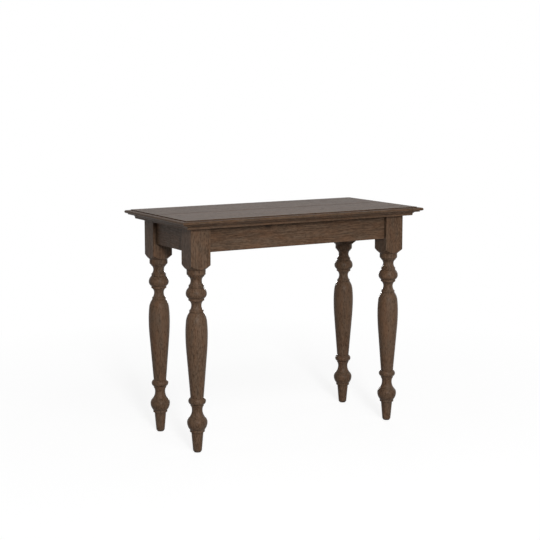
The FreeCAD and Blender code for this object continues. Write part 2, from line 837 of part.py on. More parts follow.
def make_glue_block(half):
    sign = HALVES[half]
    body = new_body(f"{half}_glue_block")
    back = half_depth - apron_back
    plan = sketch_on(body, "XY", screw_head_level)
    rectangle(plan, s.glue_block_length / -2, s.glue_block_length / 2,
              (back - s.glue_block_width) * sign, back * sign)
    pad(body, plan, s.screw_grip)
    holes = sketch_on(body, "XY", screw_head_level)
    points = [(s.glue_block_length * 0.35 * side, (back - s.glue_block_width / 2) * sign)
              for side in SIDES.values()]
    circles(holes, points, s.screw_radius + s.screw_gap)
    cut(body, holes, s.screw_grip + PAST, along=True)


def make_top_screws(half):
    body = new_body(f"{half}_top_screws")
    heads = sketch_on(body, "XY", screw_head_level - s.screw_head_height)
    circles(heads, top_screw_points(half), s.screw_head_radius)
    pad(body, heads, s.screw_head_height)
    shanks = sketch_on(body, "XY", screw_head_level - s.screw_head_height / 2)
    circles(shanks, top_screw_points(half), s.screw_radius)
    pad(body, shanks, s.screw_head_height / 2 + s.screw_grip + s.screw_bite)


def make_lock_screws(half, name):
    body = new_body(name)
    heads = sketch_on(body, "XY", lock_plate_under - s.lock_screw_head_height)
    circles(heads, lock_screw_points(half), s.lock_screw_head_radius)
    pad(body, heads, s.lock_screw_head_height)
    shanks = sketch_on(body, "XY", lock_plate_under - s.lock_screw_head_height / 2)
    circles(shanks, lock_screw_points(half), s.lock_screw_radius)
    pad(body, shanks, s.lock_screw_head_height / 2 + s.lock_plate_thickness + s.lock_screw_bite)


# Extension slides.

def tongue_half(depth):
    """Half height of the tongue at a depth measured from the face that carries it."""
    flare = (s.tongue_head - s.tongue_neck) / 2
    return s.tongue_neck / 2 + flare * depth / (s.slide_gap + s.tongue_depth)


def slide_section(inner, top, under, tongue, groove):
    """Section of one slide member, with a tongue on its outer face and a groove in its inner face."""
    outer = inner + s.slide_thickness
    corners = [(inner, under), (outer, under)]
    if tongue:
        tip = outer + s.slide_gap + s.tongue_depth
        corners += [(outer, tongue_level - s.tongue_neck / 2), (tip, tongue_level - s.tongue_head / 2),
                    (tip, tongue_level + s.tongue_head / 2), (outer, tongue_level + s.tongue_neck / 2)]
    corners += [(outer, top), (inner, top)]
    if groove:
        mouth = tongue_half(s.slide_gap) + s.groove_clearance
        floor = tongue_half(s.slide_gap + groove_depth) + s.groove_clearance
        deep = inner + groove_depth
        corners += [(inner, tongue_level + mouth), (deep, tongue_level + floor),
                    (deep, tongue_level - floor), (inner, tongue_level - mouth)]
    return corners


def make_slide(owner, hand):
    """One member: the rear one has the groove, the front one the tongue, the middle one both."""
    side = SIDES[hand]
    inner = {"front": front_inner, "middle": middle_inner, "rear": rear_inner}[owner]
    top = board_under - s.slide_relief if owner == "middle" else board_under
    under = tie_top if owner == "middle" else slide_under
    body = new_body(f"{owner}_{hand}_slide")
    section = sketch_on(body, "XZ")
    outline(section, mirrored(slide_section(inner, top, under, owner != "rear", owner != "front"), side))
    pad(body, section, slide_length, both=True)
    if owner != "front":
        floor = inner + groove_depth
        slot = sketch_on(body, "YZ", floor * side)
        spare = s.stop_pin_radius + s.stop_slot_clearance
        rectangle(slot, stop_pin_y - s.stage_travel - spare, stop_pin_y + spare,
                  tongue_level - spare, tongue_level + spare)
        cut(body, slot, stop_slot_depth, along=side > 0)
    if owner != "rear":
        tip = inner + s.slide_thickness + s.slide_gap + s.tongue_depth
        pin_hole = sketch_on(body, "YZ", tip * side)
        circles(pin_hole, [(stop_pin_y, tongue_level)], s.stop_pin_radius + s.thread_gap)
        cut(body, pin_hole, s.stop_pin_bury + s.thread_gap, along=side < 0)
    if owner == "middle":
        pilots = sketch_on(body, "XY", under)
        circles(pilots, [(tie_screw_x * side, s.tie_screw_spread / 2 * way) for way in (-1, 1)],
                s.screw_radius + s.screw_gap)
        cut(body, pilots, s.tie_screw_bite + s.screw_gap, along=True)
        return
    sign = HALVES[owner]
    relief = sketch_on(body, "XY", board_under)
    rectangle(relief, (inner - PAST) * side, (inner + s.slide_thickness + PAST) * side,
              seam * sign, (slide_length / 2 + PAST) * -sign)
    cut(body, relief, s.slide_relief)
    screw_x = front_screw_x if owner == "front" else rear_screw_x
    points = [(screw_x * side, y * sign) for y in (s.slide_screw_near, s.slide_screw_far)]
    shank = sketch_on(body, "XY", under)
    circles(shank, points, s.screw_radius + s.screw_gap)
    cut(body, shank, s.slide_height + PAST, along=True)
    counterbore = sketch_on(body, "XY", under)
    circles(counterbore, points, s.counterbore_radius)
    cut(body, counterbore, s.slide_height - s.screw_grip, along=True)


def make_stop_pins(owner):
    """Pins in the tongues; each runs in the slot of the next member and stops it at both ends."""
    body = new_body(f"{owner}_stop_pins")
    inner = front_inner if owner == "front" else middle_inner
    root = inner + s.slide_thickness + s.slide_gap + s.tongue_depth - s.stop_pin_bury
    for side in SIDES.values():
        pin = sketch_on(body, "YZ", root * side)
        circles(pin, [(stop_pin_y, tongue_level)], s.stop_pin_radius)
        pad(body, pin, s.stop_pin_bury + s.stop_pin_reach, back=side < 0)


def make_tie():
    body = new_body("slide_tie")
    reach = middle_inner + s.slide_thickness
    plan = sketch_on(body, "XY", tie_top - s.tie_thickness)
    rectangle(plan, -reach, reach, s.tie_width / -2, s.tie_width / 2)
    pad(body, plan, s.tie_thickness)
    points = [(tie_screw_x * side, s.tie_screw_spread / 2 * way) for side in (-1, 1) for way in (-1, 1)]
    holes = sketch_on(body, "XY", tie_top - s.tie_thickness)
    circles(holes, points, s.screw_radius + s.screw_gap)
    cut(body, holes, s.tie_thickness + PAST, along=True)
    screws = new_body("tie_screws")
    heads = sketch_on(screws, "XY", tie_top - s.tie_thickness - s.screw_head_height)
    circles(heads, points, s.screw_head_radius)
    pad(screws, heads, s.screw_head_height)
    shanks = sketch_on(screws, "XY", tie_top - s.tie_thickness - s.screw_head_height / 2)
    circles(shanks, points, s.screw_radius)
    pad(screws, shanks, s.screw_head_height / 2 + s.tie_thickness + s.tie_screw_bite)


# Dowels at the seam and the two swinging locks.

def make_dowels():
    body = new_body("seam_dowels")
    plan = sketch_on(body, "XZ")
    circles(plan, dowel_points(), s.dowel_radius)
    pad(body, plan, (seam + s.dowel_depth) * 2, both=True)


def make_lock_plate(hand):
    """Plate under the front half with the riveted pivot of the lever."""
    side = SIDES[hand]
    body = new_body(f"{hand}_lock_plate")
    half_side = s.lock_plate_side / 2
    pivot = (lock_x * side, -s.lock_pivot_y)
    plate = sketch_on(body, "XY", lock_plate_under)
    rectangle(plate, (lock_x - half_side) * side, (lock_x + half_side) * side,
              -s.lock_pivot_y - half_side, half_side - s.lock_pivot_y)
    pad(body, plate, s.lock_plate_thickness)
    pin = sketch_on(body, "XY", lever_under - s.lock_play)
    circles(pin, [pivot], s.lock_pivot_radius)
    pad(body, pin, s.lever_thickness + s.lock_play * 2)
    rivet = sketch_on(body, "XY", lever_under - s.lock_play - s.lock_rivet_height)
    circles(rivet, [pivot], s.lock_rivet_radius)
    pad(body, rivet, s.lock_rivet_height)
    holes = sketch_on(body, "XY", lock_plate_under)
    points = [((lock_x + s.lock_screw_offset * way) * side, s.lock_screw_offset * way - s.lock_pivot_y)
              for way in (-1, 1)]
    circles(holes, points, s.lock_screw_radius + s.screw_gap)
    cut(body, holes, s.lock_plate_thickness + PAST, along=True)


def make_keeper(hand):
    """Plate under the rear half with the stud that the lever hooks."""
    side = SIDES[hand]
    body = new_body(f"{hand}_lock_keeper")
    plate = sketch_on(body, "XY", lock_plate_under)
    rectangle(plate, (lock_x - s.keeper_inner) * side, (lock_x + s.keeper_outer) * side,
              seam, seam + s.keeper_depth)
    pad(body, plate, s.lock_plate_thickness)
    stud = sketch_on(body, "XY", lever_under)
    circles(stud, [(lock_x * side, s.lock_stud_y)], s.stud_radius)
    pad(body, stud, lock_plate_under - lever_under)
    holes = sketch_on(body, "XY", lock_plate_under)
    points = [((lock_x + s.keeper_screw_x) * side,
               seam + s.keeper_depth / 2 + s.keeper_screw_spread / 2 * way) for way in (-1, 1)]
    circles(holes, points, s.lock_screw_radius + s.screw_gap)
    cut(body, holes, s.lock_plate_thickness + PAST, along=True)


def make_lever(hand):
    """Lever that lies along the seam when open and swings across it to hook the stud."""
    side = SIDES[hand]
    body = new_body(f"{hand}_lock_lever")
    wide = s.lever_half_width
    slot = s.stud_radius + s.stud_play
    end = lock_reach + s.lever_finger
    plan = sketch_on(body, "XY")
    corners = [(end, -wide), (end, wide), (lock_reach + slot, wide), (lock_reach + slot, -slot),
               (lock_reach - slot, -slot), (lock_reach - slot, wide), (wide - s.lever_tail, wide),
               (-s.lever_tail, 0.0, wide, RIGHT), (wide - s.lever_tail, -wide, wide, RIGHT)]
    outline(plan, mirrored(corners, -side))
    circles(plan, [(0.0, 0.0)], s.lock_pivot_radius + s.lock_pivot_gap)
    pad(body, plan, s.lever_thickness)
    place(body, lock_x * side, -s.lock_pivot_y, lever_under)


# The whole table, half by half.

for half in HALVES:
    make_top(half)
    make_long_moulding(half)
    make_long_apron(half)
    make_glue_block(half)
    make_hanger_bolts(half)
    make_glides(half)
    make_top_screws(half)
    for hand in SIDES:
        make_end_moulding(half, hand)
        make_leg(half, hand)
        make_end_apron(half, hand)
        make_corner_block(half, hand)
for hand in SIDES:
    for owner in ("rear", "middle", "front"):
        make_slide(owner, hand)
    make_lock_plate(hand)
    make_keeper(hand)
    make_lever(hand)
make_stop_pins("middle")
make_stop_pins("front")
make_tie()
make_dowels()
make_lock_screws("front", "lock_plate_screws")
make_lock_screws("rear", "keeper_screws")

doc.recompute()
for thing in doc.Objects:
    if "Invalid" in thing.State or "Error" in thing.State:
        raise RuntimeError(f"{thing.Name} did not compute: {thing.State}")

os.makedirs("parts", exist_ok=True)
for name, thing in nodes.items():
    if thing.Shape.isNull() or not thing.Shape.isValid():
        raise RuntimeError(f"{name} has no valid shape")
    thing.Shape.exportStep(os.path.join("parts", f"{name}.step"))
print(len(nodes), "nodes written")
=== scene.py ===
# %% [markdown]
# # A side table that draws apart on slides
#
# The table is of dark stained wood: a moulded top in two halves, plain aprons and four turned legs. Its
# front half draws forward on wooden slides under the top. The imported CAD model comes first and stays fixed.
# It says where every piece is and what moves with what, so that all that is made below only has to use the
# same coordinates, in metres.

# %% The fixed frame
import json
import math

import bmesh
import bpy
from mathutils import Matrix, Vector


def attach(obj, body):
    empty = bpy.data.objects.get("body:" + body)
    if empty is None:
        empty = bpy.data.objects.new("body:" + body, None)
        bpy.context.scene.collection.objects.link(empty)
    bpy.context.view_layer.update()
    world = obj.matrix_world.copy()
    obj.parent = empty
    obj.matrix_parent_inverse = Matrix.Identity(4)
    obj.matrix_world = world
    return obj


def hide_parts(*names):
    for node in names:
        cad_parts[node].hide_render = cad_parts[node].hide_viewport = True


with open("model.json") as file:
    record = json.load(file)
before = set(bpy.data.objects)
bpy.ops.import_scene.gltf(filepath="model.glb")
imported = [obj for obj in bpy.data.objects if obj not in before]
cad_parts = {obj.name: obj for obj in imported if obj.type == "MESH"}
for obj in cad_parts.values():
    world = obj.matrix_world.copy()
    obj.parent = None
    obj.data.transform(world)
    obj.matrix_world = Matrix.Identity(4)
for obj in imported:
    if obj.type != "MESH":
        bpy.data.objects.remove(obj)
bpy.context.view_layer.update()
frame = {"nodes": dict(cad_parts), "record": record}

scene = bpy.context.scene
scene.view_settings.view_transform = "Standard"

# %% [markdown]
# ## Camera
#
# The photograph was taken from well back with a long lens, a little above the top and turned 30 degrees
# towards the left end. A level camera with a strongly shifted lens would repeat it, but the other views keep
# the shift and would then lose part of the table. So the camera looks slightly down, which centres the
# table, and a small shift keeps the legs nearly upright in the picture.

# %% The camera
CAMERA_PLACE = (-2.080, -3.496, 1.168)
CAMERA_TURN = 30.49
CAMERA_TILT = 7.40
SENSOR_WIDTH = 36.0
LENS_LENGTH = 80.0
LENS_SHIFT = -0.05
camera = bpy.data.objects.new("camera", bpy.data.cameras.new("camera"))
camera.data.sensor_width = SENSOR_WIDTH
camera.data.lens = LENS_LENGTH
camera.data.shift_y = LENS_SHIFT
camera.location = CAMERA_PLACE
camera.rotation_euler = (math.radians(90.0 - CAMERA_TILT), 0.0, math.radians(-CAMERA_TURN))
scene.collection.objects.link(camera)
scene.camera = camera
print("camera at", CAMERA_PLACE, "lens", camera.data.lens)

# %% [markdown]
# ## Nodes in few words
#
# Every finish below is a network of shader nodes. It could be wired by hand in the shader editor; written
# down, it can be read from the first value to the last. A few helpers keep that short: one adds a node and
# fills or links its sockets, the next ones calculate, stretch a range and blend colours, one starts a new
# finish, and the last tells rays that look at a surface from rays that only carry light.

# %% Nodes that calculate
def add_node(tree, kind, inputs=None, **settings):
    """Add a shader node; a socket given as an input value is linked, anything else is set."""
    made = tree.nodes.new("ShaderNode" + kind)
    for name, value in settings.items():
        setattr(made, name, value)
    for name, value in (inputs or {}).items():
        if isinstance(value, bpy.types.NodeSocket):
            tree.links.new(value, made.inputs[name])
        else:
            made.inputs[name].default_value = value
    return made


def calc(tree, operation, first, second=0.0):
    return add_node(tree, "Math", {0: first, 1: second}, operation=operation).outputs[0]


def calc_place(tree, operation, *places, output="Vector"):
    """Arithmetic on places, which have three numbers each."""
    return add_node(tree, "VectorMath", dict(enumerate(places)), operation=operation).outputs[output]


def remap(tree, value, low, high, to_low=0.0, to_high=1.0):
    """Stretch a range of values to another and stop at its ends."""
    inputs = {"Value": value, "From Min": low, "From Max": high, "To Min": to_low, "To Max": to_high}
    return add_node(tree, "MapRange", inputs).outputs[0]


# %% Nodes for colours and finishes
def blend(tree, factor, first, second, mode="MIX"):
    made = add_node(tree, "Mix", {0: factor, 6: first, 7: second}, data_type="RGBA", blend_type=mode)
    return made.outputs[2]


def grey(tree, value):
    """A colour that is as bright as a value."""
    return add_node(tree, "CombineColor", {0: value, 1: value, 2: value}).outputs[0]


def new_finish(name):
    """A material with nothing but its main shader, and that shader."""
    material = bpy.data.materials.new(name)
    material.use_nodes = True
    return material, material.node_tree, material.node_tree.nodes["Principled BSDF"]


def seen_directly(tree):
    """1 for rays from the camera, in mirrors and through glass; 0 for the rays that carry light."""
    path = add_node(tree, "LightPath").outputs
    straight = calc(tree, "MAXIMUM", path["Is Camera Ray"], path["Is Glossy Ray"])
    return calc(tree, "MAXIMUM", straight, path["Is Transmission Ray"])


# %% [markdown]
# ## Studio
#
# A pale floor, a white surround and six soft boxes. The surround is white where it is looked at or mirrored,
# and dimmer as a light, or else it would wash out the dark wood; a little more comes from behind the table.
# The floor is mostly self-lit white, which leaves the table's shadow on it as a faint one. Its lower side
# lets rays through, so that the slides under the top can be looked at from below.
#
# A tall box in front, on the left, does most of the lighting. A high, a low and a left one open its shadows,
# and the last two light the back and the right end, which only other views show.

# %% White surround
WHITE = (1, 1, 1, 1)
AMBIENT = 0.035
BACK_LIGHT = 0.22
BACK_WAY = (0.51, 0.86, 0.0)
world = bpy.data.worlds.new("studio")
scene.world = world
world.use_nodes = True
world_tree = world.node_tree
world_tree.nodes.clear()
way = add_node(world_tree, "TexCoord").outputs["Generated"]
behind = calc_place(world_tree, "DOT_PRODUCT", way, BACK_WAY, output="Value")
strength = remap(world_tree, behind, 0.0, 1.0, AMBIENT, AMBIENT + BACK_LIGHT)
seen = add_node(world_tree, "Background", {"Color": WHITE, "Strength": 1.0}).outputs[0]
lighting = add_node(world_tree, "Background", {"Color": WHITE, "Strength": strength}).outputs[0]
surround = add_node(world_tree, "MixShader", {0: seen_directly(world_tree), 1: lighting, 2: seen})
add_node(world_tree, "OutputWorld", {"Surface": surround.outputs[0]})
print("surround lights from", AMBIENT, "to", AMBIENT + BACK_LIGHT)

# %% Floor
FLOOR_HALF = 9.0
FLOOR_LEVEL = -0.0004
FLOOR_CORNERS = ((-1, -1), (1, -1), (1, 1), (-1, 1))
floor_mesh = bpy.data.meshes.new("floor")
floor_points = [(x * FLOOR_HALF, y * FLOOR_HALF, FLOOR_LEVEL) for x, y in FLOOR_CORNERS]
floor_mesh.from_pydata(floor_points, [], [(0, 1, 2, 3)])
floor = bpy.data.objects.new("floor", floor_mesh)
scene.collection.objects.link(floor)
print("floor", 2 * FLOOR_HALF, "m wide at", FLOOR_LEVEL)

# %% Floor paint
FLOOR_GREY = (0.22, 0.22, 0.22, 1)
FADE_REACH = (0.6, 2.0)
GLOW = (0.86, 1.0)
SHADOW = (0.24, 0.0)
floor_paint, floor_tree, floor_shader = new_finish("pale_floor")
floor_shader.inputs["Base Color"].default_value = FLOOR_GREY
floor_shader.inputs["Roughness"].default_value = 1.0
floor_shader.inputs["Specular IOR Level"].default_value = 0.0
floor_place = add_node(floor_tree, "TexCoord").outputs["Object"]
away = calc_place(floor_tree, "LENGTH", floor_place, output="Value")
glow_level = remap(floor_tree, away, *FADE_REACH, *GLOW)
glow = add_node(floor_tree, "Emission", {"Strength": glow_level}).outputs[0]
shadow_tint = grey(floor_tree, remap(floor_tree, away, *FADE_REACH, *SHADOW))
catcher = add_node(floor_tree, "BsdfDiffuse", {"Color": shadow_tint}).outputs[0]
lit = add_node(floor_tree, "AddShader", {0: glow, 1: catcher}).outputs[0]
looked_at = seen_directly(floor_tree)
above = add_node(floor_tree, "MixShader", {0: looked_at, 1: floor_shader.outputs[0], 2: lit}).outputs[0]
below = add_node(floor_tree, "BsdfTransparent").outputs[0]
from_below = add_node(floor_tree, "NewGeometry").outputs["Backfacing"]
floor_mix = add_node(floor_tree, "MixShader", {0: from_below, 1: above, 2: below})
floor_tree.links.new(floor_mix.outputs[0], floor_tree.nodes["Material Output"].inputs["Surface"])
floor_mesh.materials.append(floor_paint)
print("finish", floor_paint.name, "glows from", GLOW[0], "to", GLOW[1])

# %% Soft boxes
# Place, height on the table's axis that the box faces, width, height and watts.
SOFT_BOXES = {
    "main_box": ((-1.95, -5.96, 2.6), 0.45, 0.9, 2.0, 308.0),
    "high_box": ((-0.6, -3.4, 4.2), 0.45, 2.2, 1.4, 40.0),
    "low_box": ((0.9, -4.4, 0.40), 0.45, 1.6, 0.5, 16.0),
    "left_box": ((-3.0, 0.9, 1.7), 0.5, 1.2, 1.2, 5.0),
    "back_box": ((2.8, 4.75, 0.42), 0.5, 2.4, 0.5, 190.0),
    "end_box": ((4.8, 0.6, 1.4), 0.5, 1.4, 1.4, 14.0),
}
for name, (place, facing, width, height, watts) in SOFT_BOXES.items():
    light = bpy.data.lights.new(name, "AREA")
    light.shape = "RECTANGLE"
    light.size = width
    light.size_y = height
    light.energy = watts
    box = bpy.data.objects.new(name, light)
    box.location = place
    box.rotation_euler = (Vector((0, 0, facing)) - Vector(place)).to_track_quat("-Z", "Y").to_euler()
    scene.collection.objects.link(box)
    print(name, watts, "W")

# %% [markdown]
# ## Grain of the wood
#
# The wood is open-pored, with long streaks on the boards and arches on the bellies of the legs. A picture of
# grain would have to be fitted to every face. Here the pattern is solid, as in a tree: growth layers are
# planes across the trunk, bent by slow noise, and a board or a turned leg cuts through them. That gives the
# streaks and the arches by itself. Fine fibres, short flecks and dark pores run along the grain, and a knot
# pushes the layers aside.

# %% Noise along the grain
TREE_SPREAD = (7.3, 3.1, 5.7)
# How often each noise changes in a metre along the grain and across it, then its detail and roughness.
GRAIN = {
    "sway": (1.6, 9.0, 2.0, 0.5),
    "waver": (14.0, 90.0, 2.0, 0.5),
    "fibre": (10.0, 420.0, 3.0, 0.6),
    "fleck": (80.0, 230.0, 3.0, 0.66),
    "streak": (2.2, 55.0, 3.0, 0.55),
    "cloud": (2.0, 5.0, 2.0, 0.5),
    "pore": (42.0, 880.0, 1.0, 0.5),
    "tint": (16.0, 55.0, 3.0, 0.6),
}


def along_grain(grain, along, across):
    scale = [across, across, across]
    scale[grain] = along
    return tuple(scale)


def place_in_tree(tree, place, chance):
    """Every piece comes from another part of the tree, so that no two look alike."""
    spread = [calc(tree, "MULTIPLY", chance, reach) for reach in TREE_SPREAD]
    spread = add_node(tree, "CombineXYZ", dict(enumerate(spread))).outputs[0]
    return calc_place(tree, "ADD", place, spread)


def grain_noise(tree, own, grain):
    """All the noises of the grain, by their names."""
    noises = {}
    for name, (along, across, detail, rough) in GRAIN.items():
        scaled = calc_place(tree, "MULTIPLY", own, along_grain(grain, along, across))
        inputs = {"Vector": scaled, "Scale": 1.0, "Detail": detail, "Roughness": rough}
        noises[name] = add_node(tree, "TexNoise", inputs).outputs["Fac"]
    return noises


print("noises in the grain:", ", ".join(GRAIN))

# %% Growth layers, knots and pores
RING_WIDTH = 0.0045
SWAY_REACH, WAVER_REACH = 0.06, 0.004
LATE_STEEPNESS = 2.5
KNOT_STRETCH = 0.55
KNOT_RIM, KNOT_HEART = 0.011, 0.002
KNOT_REACH, KNOT_PUSH = 0.040, 0.02
PORE_RANGE = (0.57, 0.66)


def knot_here(tree, place, grain, knot):
    """How much of the knot is here, and how far it pushes the growth layers aside."""
    offset = calc_place(tree, "SUBTRACT", place, knot)
    flat = calc_place(tree, "MULTIPLY", offset, along_grain(grain, KNOT_STRETCH, 1.0))
    away = calc_place(tree, "LENGTH", flat, output="Value")
    return remap(tree, away, KNOT_RIM, KNOT_HEART), remap(tree, away, KNOT_REACH, 0.0, 0.0, KNOT_PUSH)


def late_wood(tree, own, noises, layers, figure, push):
    """0 in the early wood of each year, rising steeply to 1 in its late wood."""
    depth = calc_place(tree, "DOT_PRODUCT", own, layers, output="Value")
    sway = calc(tree, "MULTIPLY", noises["sway"], SWAY_REACH * figure)
    waver = calc(tree, "MULTIPLY", noises["waver"], WAVER_REACH)
    depth = calc(tree, "ADD", calc(tree, "ADD", depth, sway), waver)
    if push is not None:
        depth = calc(tree, "ADD", depth, push)
    season = calc(tree, "FRACT", calc(tree, "DIVIDE", depth, RING_WIDTH))
    return calc(tree, "POWER", season, LATE_STEEPNESS)


def open_pores(tree, noise, late, amount):
    """Pores lie in the early wood only."""
    pores = remap(tree, noise, *PORE_RANGE)
    early = calc(tree, "SUBTRACT", 1.0, late)
    return calc(tree, "MULTIPLY", calc(tree, "MULTIPLY", pores, early), amount)


print("a growth layer is", RING_WIDTH, "m wide")

# %% [markdown]
# ## Stain, wear, painted shade and varnish
#
# The dark brown stain is cloudy, warmer in some places and cooler in others. Hands have rubbed it off the
# corners, and the legs are lighter over the heights of their vases, most at the middle. Quirks and hollows
# get painted shade, darker where they lie deeper. All that could be painted, piece by piece. Here the shader
# finds the places itself: a Bevel node tells where the surface turns a corner, and Ambient Occlusion where it
# lies deep. Satin varnish lies over it all and has sunk into the pores.

# %% Stain
MIDDLE = 0.5
LIFT_SHARE = 0.34
TINT_RANGE = (0.3, 0.7)
WARM, COOL = (1.09, 0.99, 0.90, 1.0), (0.92, 1.01, 1.06, 1.0)


def opaque(colour, share=1.0):
    return (*[c * share for c in colour], 1.0)


# Lighter over a band of heights. On the legs, that band is the vase.
def lighter_between_heights(tree, place, heights):
    """0 up to the low height, rising to 1 at the middle one and back to 0 at the high one."""
    height = add_node(tree, "SeparateXYZ", {0: place}).outputs["Z"]
    low, most, high = heights
    return calc(tree, "MINIMUM", remap(tree, height, low, most), remap(tree, height, high, most))


def stain_colour(tree, parts, vase_lift, tones, tint):
    """Each part moves the tone by its share, up or down; the tone picks a colour from dark to light."""
    tone = MIDDLE - sum(share for source, share in parts) / 2
    if vase_lift is not None:
        parts = [*parts, (vase_lift, LIFT_SHARE)]
    for source, share in parts:
        tone = add_node(tree, "Math", {0: source, 1: share, 2: tone}, operation="MULTIPLY_ADD").outputs[0]
    ramp = add_node(tree, "ValToRGB", {"Fac": tone})
    stops = ramp.color_ramp.elements
    stops[0].color, stops[1].color = opaque(tones[0]), opaque(tones[2])
    stops.new(MIDDLE).color = opaque(tones[1])
    uneven = blend(tree, remap(tree, tint, *TINT_RANGE), WARM, COOL)
    return blend(tree, 1.0, ramp.outputs["Color"], uneven, "MULTIPLY")


print("stain varies in red from", WARM[0], "to", COOL[0])

# %% Wear, painted shade and varnish
MM = 0.001
# Reach of the rubbed corners, and of the painted shade in hollows and in quirks.
RUB_RADIUS, HOLLOW_REACH, QUIRK_REACH = 1.6 * MM, 16 * MM, 5 * MM
CORNER_RANGE, PATCH_RANGE = (0.995, 0.86), (0.35, 0.65, 0.05, 0.35)
WORN = 1.35
HOLLOW_RANGE, HOLLOW_SHADE = (0.25, 0.88), 0.66
QUIRK_RANGE = (0.35, 0.9)
FIBRE_RANGE = (0.3, 0.7)
DULLER, GLOSSIER, PORE_DULL = 0.07, 0.05, 0.22
FIBRE_RELIEF = 0.35
RELIEF_STRENGTH, RELIEF_DEPTH = 0.4, 0.03 * MM
VARNISH_MIRROR = 0.075


def wear_and_painted_shade(tree, colour, tones, fibre, painted_quirk_depth):
    """Rub the stain off the corners, and paint shade into hollows and, more so, into quirks."""
    normal = add_node(tree, "NewGeometry").outputs["Normal"]
    rounded = add_node(tree, "Bevel", {"Radius": RUB_RADIUS}, samples=4).outputs[0]
    facing = calc_place(tree, "DOT_PRODUCT", normal, rounded, output="Value")
    corner, patchy = remap(tree, facing, *CORNER_RANGE), remap(tree, fibre, *PATCH_RANGE)
    colour = blend(tree, calc(tree, "MULTIPLY", corner, patchy), colour, opaque(tones[2], WORN))
    # Ambient Occlusion darkens the colour in hollows and quirks: this is painted shade.
    hollow = add_node(tree, "AmbientOcclusion", {"Distance": HOLLOW_REACH}, samples=8).outputs["AO"]
    quirk = add_node(tree, "AmbientOcclusion", {"Distance": QUIRK_REACH}, samples=8).outputs["AO"]
    painted_hollow_shade = remap(tree, hollow, *HOLLOW_RANGE, HOLLOW_SHADE, 1.0)
    painted_quirk_shade = remap(tree, quirk, *QUIRK_RANGE, 1.0 - painted_quirk_depth, 1.0)
    return blend(tree, 1.0, colour, grey(tree, calc(tree, "MULTIPLY", painted_hollow_shade, painted_quirk_shade)), "MULTIPLY")


def raise_surface(tree, shader, height, strength, depth):
    bump = add_node(tree, "Bump", {"Strength": strength, "Distance": depth, "Height": height})
    tree.links.new(bump.outputs[0], shader.inputs["Normal"])


def varnish(tree, shader, fibre, pores, sheen):
    """Satin varnish that has sunk into the pores and shows the fibres a little."""
    even = remap(tree, fibre, *FIBRE_RANGE, sheen - GLOSSIER, sheen + DULLER)
    rough = calc(tree, "ADD", even, calc(tree, "MULTIPLY", pores, PORE_DULL))
    tree.links.new(rough, shader.inputs["Roughness"])
    relief = calc(tree, "SUBTRACT", calc(tree, "MULTIPLY", fibre, FIBRE_RELIEF), pores)
    raise_surface(tree, shader, relief, RELIEF_STRENGTH, RELIEF_DEPTH)
    shader.inputs["Specular IOR Level"].default_value = VARNISH_MIRROR


# HOLLOW_REACH is how far the painted shade in hollows reaches.
print("corners are rubbed within", RUB_RADIUS, "m, stain pools within", HOLLOW_REACH, "m")

# %% [markdown]
# ## Stained wood
#
# Grain, stain and varnish come together in one function. A single finish for the whole table would be
# shorter, but then the grain would run the wrong way on most pieces. So there is one for each way that the
# grain runs. The top also has a coat of its own and the front apron a knot. The legs get deeper painted shade
# in their quirks, and are lighter over the heights of their vases.

# %% Wood finish
LATE_SHARE, FIBRE_SHARE, STREAK_SHARE, CLOUD_SHARE, PIECE_SHARE = -0.50, 1.4, 0.9, 0.8, 0.2
DEEP, PORE_DARK, KNOT_DARK = 0.42, 0.65, 0.85


def wood(name, grain, layers, tones, figure=1.0, pore=1.0, sheen=0.42, flecks=2.0, painted_quirk_depth=0.38,
         knot=None, turned=None, aslant=0.0):
    """Wood with its grain along one axis; layers is the direction across the growth layers.

    knot is the place of a knot; turned gives the heights where the wood starts to get lighter, is lightest
    and stops; aslant turns the grain in plan.
    """
    material, tree, shader = new_finish(name)
    place = add_node(tree, "TexCoord").outputs["Object"]
    if aslant:
        turn = {"Vector": place, "Angle": aslant}
        place = add_node(tree, "VectorRotate", turn, rotation_type="Z_AXIS").outputs[0]
    chance = add_node(tree, "ObjectInfo").outputs["Random"]
    own = place_in_tree(tree, place, chance)
    noises = grain_noise(tree, own, grain)
    heart, push = knot_here(tree, place, grain, knot) if knot else (None, None)
    late = late_wood(tree, own, noises, layers, figure, push)
    pores = open_pores(tree, noises["pore"], late, pore)
    parts = [(late, LATE_SHARE * figure), (noises["fibre"], FIBRE_SHARE), (noises["fleck"], flecks),
             (noises["streak"], STREAK_SHARE * figure), (noises["cloud"], CLOUD_SHARE),
             (chance, PIECE_SHARE)]
    vase_lift = lighter_between_heights(tree, place, turned) if turned else None
    colour = stain_colour(tree, parts, vase_lift, tones, noises["tint"])
    colour = blend(tree, calc(tree, "MULTIPLY", pores, PORE_DARK), colour, opaque(tones[0], DEEP))
    if knot:
        colour = blend(tree, calc(tree, "MULTIPLY", heart, KNOT_DARK), colour, opaque(tones[0], DEEP))
    tree.links.new(wear_and_painted_shade(tree, colour, tones, noises["fibre"], painted_quirk_depth), shader.inputs["Base Color"])
    varnish(tree, shader, noises["fibre"], pores, sheen)
    print("finish", name, "with", len(tree.nodes), "nodes")
    return material


# %% Stained finishes
LENGTHWISE, DEPTHWISE, UPRIGHT = range(3)
STAIN = ((0.056, 0.0328, 0.0198), (0.096, 0.0577, 0.0362), (0.138, 0.0856, 0.0556))
TOP_COAT = 0.97
TOP_STAIN = [[c * TOP_COAT for c in tone] for tone in STAIN]
KNOT = (-0.125, -0.162, 0.721)
VASE = (0.16, 0.38, 0.62)
stain_top = wood("stained_wood_top", LENGTHWISE, (0.0, 0.35, 0.94), TOP_STAIN, sheen=0.415)
stain_length = wood("stained_wood_lengthwise", LENGTHWISE, (0.0, 0.35, 0.94), STAIN)
stain_depth = wood("stained_wood_depthwise", DEPTHWISE, (0.90, 0.0, 0.43), STAIN)
